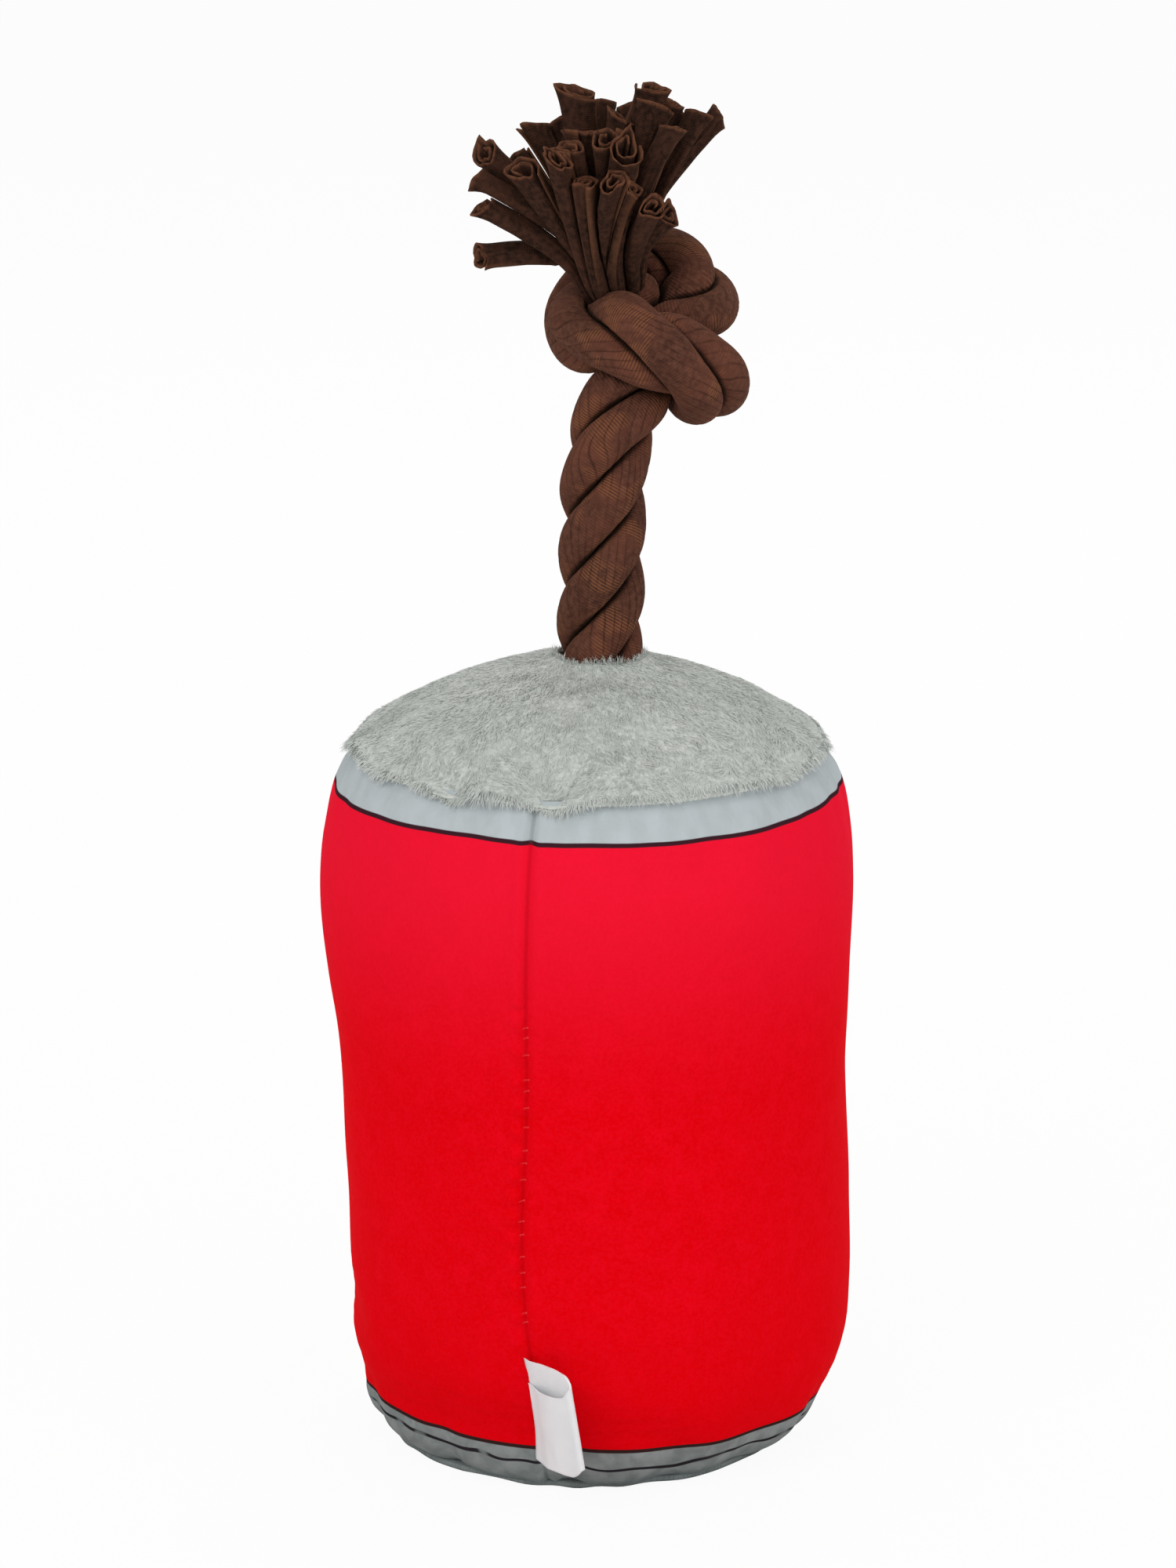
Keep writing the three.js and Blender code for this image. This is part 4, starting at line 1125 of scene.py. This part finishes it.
def wrap_look():
    look = Look("printed_cloth", roughness=0.95, specular=0.02)
    u, _ = look.uv()
    z = look.parts(look.place)[2]
    wave = look.times(look.minus(look.noise(22, 1), 0.5), BAND_WAVER)
    hem_wave = look.times(look.minus(look.noise(60, 1), 0.5), HEM_LINE_WAVER)
    mottle = look.noise(240, 5, distortion=0.4)
    red = look.tint(0xE2000B, 0xEC041A, mottle, 0.35, 0.75, 0.55)
    red = look.tint(red, 0xE8000C, look.noise(38, 3), 0.4, 0.7, 0.35)
    red = look.tint(red, 0xEE1024, look.noise(1300), 0.35, 0.65, 0.3)
    # painted light: the red is lighter and pinker towards the top, where the lamps' sheen falls
    red = look.tint(red, 0xF81E40, z, *RED_PAINTED_LIGHT_HEIGHTS, 0.55)
    # painted shade: the red is darker towards the bottom
    red = look.tint(red, 0xD80008, z, *RED_PAINTED_SHADE_HEIGHTS, 0.4)
    # the grey band's own mottle, with painted shade of its soft vertical folds in the upright streaks
    grey = look.tint(0xB2BABC, 0xBAC2C5, look.noise(1.0, 2, look.stretched((260, 260, 22))), 0.3, 0.7)
    dark_grey = look.tint(0x767E7D, 0x8D9594, mottle, 0.3, 0.7)
    top_edge = look.plus(look.minus(z, TOP_BAND_LOW), wave)
    hem_edge = look.plus(look.minus(z, HEM_BAND_HIGH), look.times(wave, 0.8))
    hem_line = look.plus(look.minus(z, HEM_LINE_HEIGHT), hem_wave)
    over, under = (-PRINT_SOFTNESS, PRINT_SOFTNESS), (PRINT_SOFTNESS, -PRINT_SOFTNESS)
    colour = look.tint(look.tint(red, grey, top_edge, *over), dark_grey, hem_edge, *under)
    broken = look.rise(look.noise(120, 1), 0.36, 0.46, 0.15, 1.0)
    lines = ((top_edge, TOP_LINE, 0x3A1E26, 1.0), (hem_edge, HEM_LINE, 0x33201F, 1.0),
             (hem_line, HEM_SECOND_LINE, 0x28252A, broken))
    for edge, width, ink, shown in lines:
        from_line = look.math("ABSOLUTE", edge)
        inside = look.rise(from_line, width / 2 + PRINT_SOFTNESS, width / 2 - PRINT_SOFTNESS)
        colour = look.blend(look.times(inside, shown), colour, ink)
    # painted shade: a dark line along the back seam's groove, dark grey in the grey bands and dark red in the
    # red
    in_red = look.times(look.rise(top_edge, SEAM_SHADE_SOFTNESS, -SEAM_SHADE_SOFTNESS),
                        look.rise(hem_edge, -SEAM_SHADE_SOFTNESS, SEAM_SHADE_SOFTNESS))
    seam = look.blend(in_red, 0x4A4E50, 0x9C0009)
    look.set("Base Color", look.tint(colour, seam, look.math("ABSOLUTE", u), *SEAM_SHADE_ANGLES, 0.3))
    knit = look.noise(1500, 3)
    look.bump(knit, RELIEF["cloth knit"], 0.5, look.bump(mottle, RELIEF["cloth mottle"], 0.35))
    return look


# Plush top

def dome_height(radius):
    share = np.clip(radius / SEAM_RADIUS, 0, 1)
    return BODY_HEIGHT + FIT_GAP + DOME_HEIGHT * (1 - share**DOME_SPREAD_POWER) ** DOME_EDGE_POWER


def plush_surface(radius, angle):
    """Points of the plush backing. The angle is from -Y towards +X."""
    level = around(angle) * radius[..., None]
    z = dome_height(radius)
    for turn, out, width, depth in PLUSH_DENTS:
        from_dent = np.linalg.norm(level - around(math.radians(turn)) * out, axis=-1)
        z = z - depth * bell(from_dent, width)
    z = z + noise_at(level, PLUSH_WAVE_SCALE, 4) * PLUSH_WAVE * np.clip(radius / SEAM_RADIUS, 0.2, 1)
    z = z + noise_at(level, PLUSH_RIPPLE_SCALE, 5) * PLUSH_RIPPLE
    from_rope = np.linalg.norm(level[..., :2] - ROPE_FOOT, axis=-1) - ROPE_DIAMETER / 2
    lip = 1 + 0.8 * noise_at(level, PLUSH_LIP_SCALE, 18)
    z = z + PLUSH_LIP * bell(from_rope, PLUSH_LIP_REACH) * lip
    rolled = np.clip((radius - SEAM_RADIUS + PLUSH_ROLL) / PLUSH_ROLL, 0, 1)
    points = level * (1 + PLUSH_ROLL_SHARE * np.sin(math.pi * rolled))[..., None]
    points[..., 2] = z
    return points


def plush_over(points):
    """Points of the plush backing straight above or below other points."""
    x, y = points[..., 0], points[..., 1]
    return plush_surface(np.minimum(np.hypot(x, y), SEAM_RADIUS), np.arctan2(x, -y))


def add_plush(look):
    angles = np.linspace(0, TURN, PLUSH_ANGLES, endpoint=False)
    share = np.linspace(0, 1, PLUSH_ROWS)[:, None, None]
    hole = ring(ROPE_DIAMETER / 2 - PLUSH_HOLE_GRIP, 0.0, angles, ROPE_FOOT)
    top = plush_over(hole * (1 - share) + ring(SEAM_RADIUS, 0.0, angles) * share)
    skirt = [top[-1] * (out, out, 0) + (0, 0, BODY_HEIGHT - depth) for out, depth in PLUSH_SKIRT]
    under = top[::-INNER_ROW_STEP] * (PLUSH_UNDER_SHARE, PLUSH_UNDER_SHARE, 1) - (0, 0, PLUSH)
    points = np.concatenate([top, np.stack(skirt), under, top[:1] - (0, 0, PLUSH)])
    return new_piece("plush_top", points, grid_faces(len(points), PLUSH_ANGLES, round_rows=True), look)


def blades(roots, ways, normals, lengths, widths, seed):
    """Short tapered blades of pile: each bends from its root towards its own way."""
    rng = np.random.default_rng(seed)
    across = unit(np.cross(ways, normals) + rng.normal(0, BLADE_SPLAY, roots.shape))
    half = across * widths[:, None] / 2
    points = []
    for up, on, width in BLADE_ROWS:
        place = roots + (normals * up + ways * on) * lengths[:, None]
        points += [place + half * width, place - half * width]
    faces = (np.arange(len(roots)) * len(points))[:, None, None] + np.array([[1, 0, 2, 3], [3, 2, 4, 5]])
    u = np.broadcast_to(rng.uniform(0, 1, len(roots))[:, None, None], faces.shape)
    v = np.broadcast_to(np.array([[0, 0, 0.5, 0.5], [0.5, 0.5, 1, 1]]), faces.shape)
    uvs = np.stack([u, v], axis=-1).reshape(-1, 4, 2)
    return np.stack(points, axis=1).reshape(-1, 3), faces.reshape(-1, 4), uvs


def plush_normals(points):
    step = PLUSH_NORMAL_STEP
    radius = np.hypot(points[:, 0], points[:, 1])
    angle = np.arctan2(points[:, 0], -points[:, 1])
    outer, inner = np.minimum(radius + step, SEAM_RADIUS), np.minimum(radius, SEAM_RADIUS - step)
    out = plush_surface(outer, angle) - plush_surface(inner, angle)
    side = plush_surface(radius, angle + step / np.maximum(radius, step)) - plush_surface(radius, angle)
    normals = unit(np.cross(side, out))
    return np.where(normals[:, 2:] < 0, -normals, normals)


def top_pile(rng):
    """Blades all over the top, which flow outwards and swirl."""
    radius = SEAM_RADIUS * np.sqrt(rng.uniform(0, 1, PILE_COUNT))
    angle = rng.uniform(0, TURN, PILE_COUNT)
    from_rope = np.linalg.norm(around(angle)[:, :2] * radius[:, None] - ROPE_FOOT, axis=1)
    clear = from_rope > ROPE_DIAMETER / 2
    radius, angle = radius[clear], angle[clear]
    roots = plush_surface(radius, angle)
    normals = plush_normals(roots)
    rough = np.clip((radius / SEAM_RADIUS - 0.45) / 0.4, 0.25, 1)
    level = roots * (1, 1, 0)
    flow = (noise_at(level, SWIRL_SCALE, 6) * 1.5 + noise_at(level, RUFFLE_SCALE, 7) * 1.2) * rough
    ways = unit(around(angle + flow) + rng.normal(0, PILE_SCATTER, roots.shape))
    ways = unit(ways - normals * (ways * normals).sum(axis=1, keepdims=True))
    uneven = 1 + 0.35 * noise_at(roots, PILE_UNEVEN_SCALE, 8)
    lengths = PILE_LENGTH * rng.uniform(0.6, 1.15, len(roots)) * uneven
    widths = PILE_WIDTH * rng.uniform(0.7, 1.4, len(roots))
    return blades(roots - normals * PILE_SUNK, ways, normals, lengths, widths, 12)


def seam_tufts(rng):
    """Longer tufts that hang over the round seam, in clumps."""
    angle = rng.uniform(0, TURN, TUFT_COUNT)
    outward = around(angle)
    clump = noise_at(outward * (1, -1, 1), 7, 10)
    roots = plush_surface(SEAM_RADIUS - rng.uniform(0, TUFT_DEPTH, TUFT_COUNT), angle)
    lean = (noise_at(outward, 9, 13) * 1.2)[:, None]
    hang = around(angle + math.pi / 2) * lean + outward * 0.5 + (0, 0, -0.9)
    ways = unit(hang + rng.normal(0, PILE_SCATTER, roots.shape))
    lengths = TUFT_LENGTH * np.clip(0.75 + 0.8 * clump, 0.3, 1.4) * rng.uniform(0.6, 1.2, TUFT_COUNT)
    return blades(roots, ways, outward, lengths, PILE_WIDTH * rng.uniform(0.8, 1.5, TUFT_COUNT), 14)


def rope_fringe(rng):
    """Tufts that stand round the rope."""
    outward = around(rng.uniform(0, TURN, FRINGE_COUNT))
    away = ROPE_DIAMETER / 2 + rng.uniform(FRINGE_NEAR, FRINGE_FAR, FRINGE_COUNT)
    roots = plush_over(outward * away[:, None] + (*ROPE_FOOT, 0))
    tuft = np.clip(0.8 + 0.9 * noise_at(outward, 4, 16), 0.25, 1.5)
    ways = unit(outward * 0.3 + (0, 0, 0.5) + rng.normal(0, FRINGE_SCATTER, roots.shape))
    lengths = FRINGE_LENGTH * tuft * rng.uniform(0.5, 1.2, FRINGE_COUNT)
    upright = np.repeat([[0, 0, 1.0]], FRINGE_COUNT, axis=0)
    return blades(roots, ways, upright, lengths, np.full(FRINGE_COUNT, PILE_WIDTH * 0.8), 15)


def add_pile(look):
    rng = np.random.default_rng(11)
    vertices, faces, uvs = joined([top_pile(rng), seam_tufts(rng), rope_fringe(rng)])
    return new_piece("plush_pile", vertices, faces, look, uvs)


def plush_look(name, has_blades):
    look = Look(name, roughness=1.0, specular=0.04, sheen=0.15)
    colour = look.tint(0xCBCFCA, 0xD6D9D4, look.noise(45, 3), 0.3, 0.7)
    if has_blades:
        shade, height = look.uv()
        # painted shade: the blades darken towards their roots, deep in the pile
        root = look.tint(0xC2C7C3, colour, height, 0.0, 0.8)
        colour = look.blend(look.times(shade, look.rise(height, 0.3, 1.0, 0.0, 0.4)), root, 0xDCDFDB)
        # darker in noisy patches towards the dome's lower slopes
        low = look.rise(look.parts(look.place)[2], *DARK_PATCH_HEIGHTS, 0.0, 0.5)
        colour = look.blend(look.times(look.rise(look.noise(62), 0.48, 0.66), low), colour, 0xA3ACA6)
    else:
        fine = look.noise(700, 4)
        colour = look.tint(0xBCC1BC, colour, fine, 0.3, 0.7)
        look.bump(fine, RELIEF["plush"], 0.8)
    look.set("Base Color", colour)
    return look


# Bottom

def add_base(look):
    angles = np.linspace(0, TURN, BASE_ANGLES, endpoint=False)
    share = np.linspace(0.02, 1, BASE_ROWS)[:, None]
    low = around(angles) * (share * (FOOT_RADIUS - CLOTH - FIT_GAP))[..., None]
    sunk = BASE_SUNK * (1 - share**2) * (1 + 0.5 * np.sin(3 * angles))
    gathered = BASE_GATHER * share**6 * (1 + np.sin(19 * angles + 2 * np.sin(5 * angles)))
    wave = np.abs(noise_at(low, BASE_WAVE_SCALE, 21)) * BASE_WAVE
    low[..., 2] = BASE_LOW + wave + sunk + gathered
    points = np.concatenate([low, low[::-BASE_INNER_STEP] + (0, 0, CLOTH)])
    return new_piece("base_panel", points, grid_faces(len(points), BASE_ANGLES, round_rows=True), look)


def base_look():
    look = Look("grey_cloth", roughness=0.95, specular=0.08)
    inputs = {"Scale": 620.0, "Vector": look.place, "Distortion": 0.6}
    weave = look.times(*(look.node("TexWave", inputs, bands_direction=axis).outputs["Fac"] for axis in "XY"))
    colour = look.tint(0x7A8281, 0x8F9796, look.noise(180, 4), 0.3, 0.7)
    look.set("Base Color", look.blend(look.times(weave, 0.4), colour, 0x69706F))
    look.bump(weave, RELIEF["base weave"], 0.6)
    return look


# Tassel

def strip_path(i):
    """One strip's centre line: out of the rope, up, and over to its own side."""
    middle, across, fore = fan_frame()
    root_place = np.array(FAN_ROOT) + (0, 0, CROWN_HEIGHT)
    ring_share = math.sqrt((i + 0.5) / len(STRIP_LEANS))
    turn = GOLDEN_ANGLE * i + FAN_PHASE
    sideways = (across * math.cos(turn) + fore * math.sin(turn)) * ring_share
    sideways *= (FAN_ROOT_DIAMETER - STRIP_ROOT_DIAMETER) / 2
    root = root_place + sideways
    to_side, to_front, reach_share = STRIP_LEANS[i]
    to_side, to_front = math.radians(to_side), math.radians(to_front)
    way = np.array([math.sin(to_side), -math.cos(to_side) * math.sin(to_front),
                    math.cos(to_side) * math.cos(to_front)])
    reach = STRIP_REACH * reach_share
    knee = root + middle * reach * STRIP_RISE_SHARE
    tip = root_place + way * reach
    t = np.linspace(0, 1, 26)[:, None]
    path = (1 - t) ** 2 * root + 2 * t * (1 - t) * knee + t**2 * tip
    lead = root_place + sideways * STRIP_LEAD_SHARE - middle * STRIP_LEAD
    path = np.vstack([lead + (root - lead) * np.linspace(0, 1, 8)[:-1, None], path])
    return spaced(smoothed(path, STRIP_EASE), STRIP_STEP)


def add_strips(look):
    rng = np.random.default_rng(31)
    paths = []
    for i in range(len(STRIP_LEANS)):
        path = strip_path(i)
        _, sides, ups = steady_frames(path)
        wander = rng.normal(0, 1, 2) * STRIP_WANDER
        bow = np.sin(math.pi * distances_along(path) / distances_along(path)[-1])[:, None]
        paths.append(path + bow * (sides * wander[0] + ups * wander[1]))
    return [add_strip(i, paths, look, rng) for i in range(len(paths))]


def strip_section(share, rng):
    """A rolled strip's crumpled section, sideways and up, and the share of it that each turn of
    the roll reaches, at each share of the strip's length."""
    flat = rng.uniform(*STRIP_FLATNESS)
    open_end = rng.uniform(*STRIP_OPENNESS)
    start_angle = rng.uniform(0, TURN)
    hand = rng.choice([-1, 1])
    lobes = rng.uniform(0, TURN, len(CRUMPLES))
    width = smooth_line(STRIP_WIDTHS, share) * rng.uniform(*STRIP_WIDTH_SPREAD)
    width *= 1 + STRIP_LIP_SHARE * np.clip((share - 0.9) / 0.1, 0, 1) ** 2
    opening = open_end * np.clip((share - 0.45) / 0.55, 0, 1) ** 1.5
    rolled = np.linspace(0, 1, STRIP_SAMPLES)
    depth = 1 - (ROLL_DEPTH - ROLL_DEPTH_OPEN * opening) * rolled
    turned = rolled * TURN * (ROLL_TURNS - ROLL_TURNS_OPEN * opening)
    angle = start_angle + hand * turned + share * STRIP_TWIST
    squash = 1 - (1 - flat) * np.minimum(1, share * 1.8)
    crumple = sum(size * np.sin(count * angle + lobe + turn * share)
                  for (count, size, turn), lobe in zip(CRUMPLES, lobes))
    wide = width * (1 + crumple * np.minimum(1, share * 1.4))
    return np.cos(angle) * wide * (1 + 0.25 * (1 - squash)), np.sin(angle) * wide * squash, depth


def add_strip(i, paths, look, rng):
    """One strip of jersey rolled up lengthwise, pressed flat where it meets its neighbours."""
    path = paths[i]
    others = np.vstack([other for k, other in enumerate(paths) if k != i])
    along = distances_along(path)
    share = (along / along[-1])[:, None]
    aside, up, depth = strip_section(share, rng)
    slant = rng.uniform(-STRIP_SLANT, STRIP_SLANT, 2)
    middle, _, _ = fan_frame()
    reached = path[-1] - path[0]
    heading = np.cross(middle, reached - middle * reached.dot(middle))
    ways, sides, ups = steady_frames(path, unit(heading + rng.normal(0, STRIP_HEADING_SCATTER, 3)))
    full = sides[:, None, :] * aside[..., None] + ups[:, None, :] * up[..., None]
    room = pressed_reach(path, unit(full), along, 2 * STRIP_TIP_DIAMETER, others, np.zeros(len(others)),
                         np.zeros(len(others), bool), STRIP_GAP)
    pressed = np.minimum(1, room / np.linalg.norm(full, axis=-1))
    offsets = full * (depth * pressed)[..., None]
    tilt = (sides * slant[0] + ups * slant[1])[:, None, :]
    cut = (offsets * tilt).sum(axis=-1) * np.clip((share - 0.7) / 0.3, 0, 1)
    curl = np.linspace(0, 1, STRIP_SAMPLES)
    cut += STRIP_RAGGED * (np.sin(curl * 23 + i) + 0.6 * np.sin(curl * 57 + 3 * i)) * (share > 0.98)
    outer = path[:, None, :] + offsets + ways[:, None, :] * cut[..., None]
    thick = np.minimum(STRIP_CLOTH, STRIP_CLOTH_SHARE * np.linalg.norm(offsets, axis=-1, keepdims=True))
    inner = outer - unit(offsets) * thick
    u = np.repeat(np.concatenate([curl, curl[::-1], [0]])[None, :], len(path), axis=0)
    v = np.repeat(((along[-1] - along) / MM)[:, None], u.shape[1], axis=1)
    sheet = np.concatenate([outer, inner[:, ::-1]], axis=1)
    return folded_piece(f"jersey_strip_{i + 1:02d}", sheet, u, v, 0.5, look)


def strip_look():
    look = Look("brown_jersey", roughness=1.0, specular=0.04, sheen=0.1)
    look.set("Sheen Tint", srgb(0xA87C60))
    u, v = look.uv()
    ribs = look.wave(u, 1 / 22)
    fluff = look.noise(800, 4)
    colour = look.tint(0x281A15, 0x422B21, fluff, 0.3, 0.7)
    colour = look.tint(colour, 0x503226, look.noise(150, 3), 0.45, 0.75, 0.5)
    edge = look.times(look.rise(u, 0.05, 0.0, 0.0, 0.4), look.rise(v, 30.0, 8.0, 0.3, 1.0))
    near_cut = look.times(look.rise(v, 0.9, 0.0, 0.0, 0.5), look.rise(fluff, 0.3, 0.6, 0.4, 1.0))
    look.set("Base Color", look.blend(near_cut, look.blend(edge, colour, 0x7A5038), 0x80523A))
    stitches = look.times(look.wave(v, 0.5), 0.4)
    first = look.bump(look.plus(ribs, stitches), RELIEF["jersey ribs"], 0.6)
    look.bump(fluff, RELIEF["jersey fluff"], 0.5, first)
    return look


# Label

def label_section():
    """The folded ribbon from the seam out and back: place, normal and which half, front 0 to back 1."""
    turn = np.linspace(-math.pi / 2, math.pi / 2, 14)
    fold = LABEL_INSIDE / 2 + LABEL_RIBBON / 2
    reach = LABEL_WIDTH - fold - LABEL_RIBBON / 2
    straight = np.linspace(-LABEL_TUCK, reach, 26)[:-1]
    flat = np.ones(len(straight))
    out = np.concatenate([straight, reach + fold * np.cos(turn), straight[::-1]])
    across = np.concatenate([-fold * flat, fold * np.sin(turn), fold * flat])
    normal_out = np.concatenate([0 * flat, np.cos(turn), 0 * flat])
    normal_across = np.concatenate([-flat, np.sin(turn), flat])
    half = np.concatenate([0 * flat, (np.sin(turn) + 1) / 2, flat])
    return out, across, normal_out, normal_across, half


def label_height(share, half, t):
    """Height above the foot at each share of the way to the fold, for t from the low edge to the high one."""
    low = smooth_line(LABEL_FRONT_LOW, share) * (1 - half) + smooth_line(LABEL_BACK_LOW, share) * half
    high = smooth_line(LABEL_FRONT_HIGH, share) * (1 - half) + smooth_line(LABEL_BACK_HIGH, share) * half
    return low + (high - low) * t


def add_label(look):
    to_fold, side, along, foot = (np.array(v) for v in (LABEL_OUT, LABEL_SIDE, LABEL_ALONG, LABEL_FOOT))
    t = np.linspace(0, 1, LABEL_ROWS)[:, None]
    out, across, normal_out, normal_across, half = label_section()
    faces = []
    for offset in (LABEL_RIBBON / 2, -LABEL_RIBBON / 2):
        way = ((out + normal_out * offset) / LABEL_WIDTH)[None, :]
        share = np.clip(way, 0, 1)
        at_seam, at_fold = label_height(0 * share, half, t), label_height(0 * share + 1, half, t)
        height = foot[2] + at_seam * along[2]
        seam = body_points(height, seam_angle(height), body_radius(height) + LABEL_STAND_OFF)
        reach = smooth_line(LABEL_REACH, t + 0 * share)
        fold = foot + reach[..., None] * to_fold + at_fold[..., None] * along
        belly = np.where(across < 0, -LABEL_LOOP, LABEL_BACK_LOOP) * np.sin(math.pi * share)
        parted = LABEL_PINCH_SHARE + (1 - LABEL_PINCH_SHARE) * np.clip(share / LABEL_PARTING, 0, 1)
        crease = [bell(way_share - place, width) for way_share, place, width
                  in zip((share, t), LABEL_CREASE_PLACE, LABEL_CREASE_REACH)]
        off = (across + normal_across * offset) * parted + belly - LABEL_CREASE * crease[0] * crease[1]
        lift = label_height(share, half, t) - at_seam * (1 - way) - at_fold * way
        place = seam * (1 - way)[..., None] + fold * way[..., None]
        faces.append(place + off[..., None] * side + lift[..., None] * along)
    sheet = np.concatenate([faces[0], faces[1][:, ::-1]], axis=1)
    width = distances_along(faces[0][0]) / MM
    u = np.repeat(np.concatenate([width, width[::-1], [0]])[None, :], LABEL_ROWS, axis=0)
    v = np.repeat(t * LABEL_FLAT[0] / MM, u.shape[1], axis=1)
    return folded_piece("folded_label", sheet, u, v, 0, look)


def label_look():
    look = Look("white_ribbon", roughness=0.6, specular=0.3, sheen=0.1)
    u, v = look.uv()
    weave = look.times(look.wave(u, 0.35), look.wave(v, 0.35))
    colour = look.tint(0xEEF2F4, 0xF6F9FA, look.noise(140, 3), 0.3, 0.7)
    look.set("Base Color", look.tint(colour, 0xDCE0E3, weave, 0.2, 1.0, 0.3))
    look.bump(weave, RELIEF["ribbon weave"], 0.6)
    return look


add_world()
add_camera()
add_lamps()
add_floor()

# Rope
line = rope_line()
rope_lower, rope_upper = add_ropes(line, rope_look())
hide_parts("rope_tail", "rope_base_bend")
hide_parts("rope_stem", "rope_neck_bend", "rope_knot", "rope_end_bend")
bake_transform(rope_lower)
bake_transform(rope_upper)

# Covers
swell = simulated_swell()
wrap = add_wrap(swell, wrap_look())
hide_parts("wrap_panel")
plush = add_plush(plush_look("plush_backing", False))
pile = add_pile(plush_look("plush_pile", True))
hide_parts("top_plush")
base = add_base(base_look())
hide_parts("base_cloth")
fibre = filling_look()
filling_lower = add_lower_filling(swell, fibre)
filling_upper = add_upper_filling(swell, fibre)
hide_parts("lower_stuffing")
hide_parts("upper_stuffing")
stitches = add_stitches(swell, stitch_look())
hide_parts("closing_thread")
for piece in (wrap, plush, pile, base, filling_lower, filling_upper, stitches):
    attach(piece, "stuffed_body")
add_cad_looks()

# Tassel
for i, strip in enumerate(add_strips(strip_look())):
    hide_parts(f"tassel_strip_{i + 1:02d}")
    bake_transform(strip)

# Label
label = add_label(label_look())
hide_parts("care_label")
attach(label, "label")

bpy.context.scene.view_settings.view_transform = "Standard"
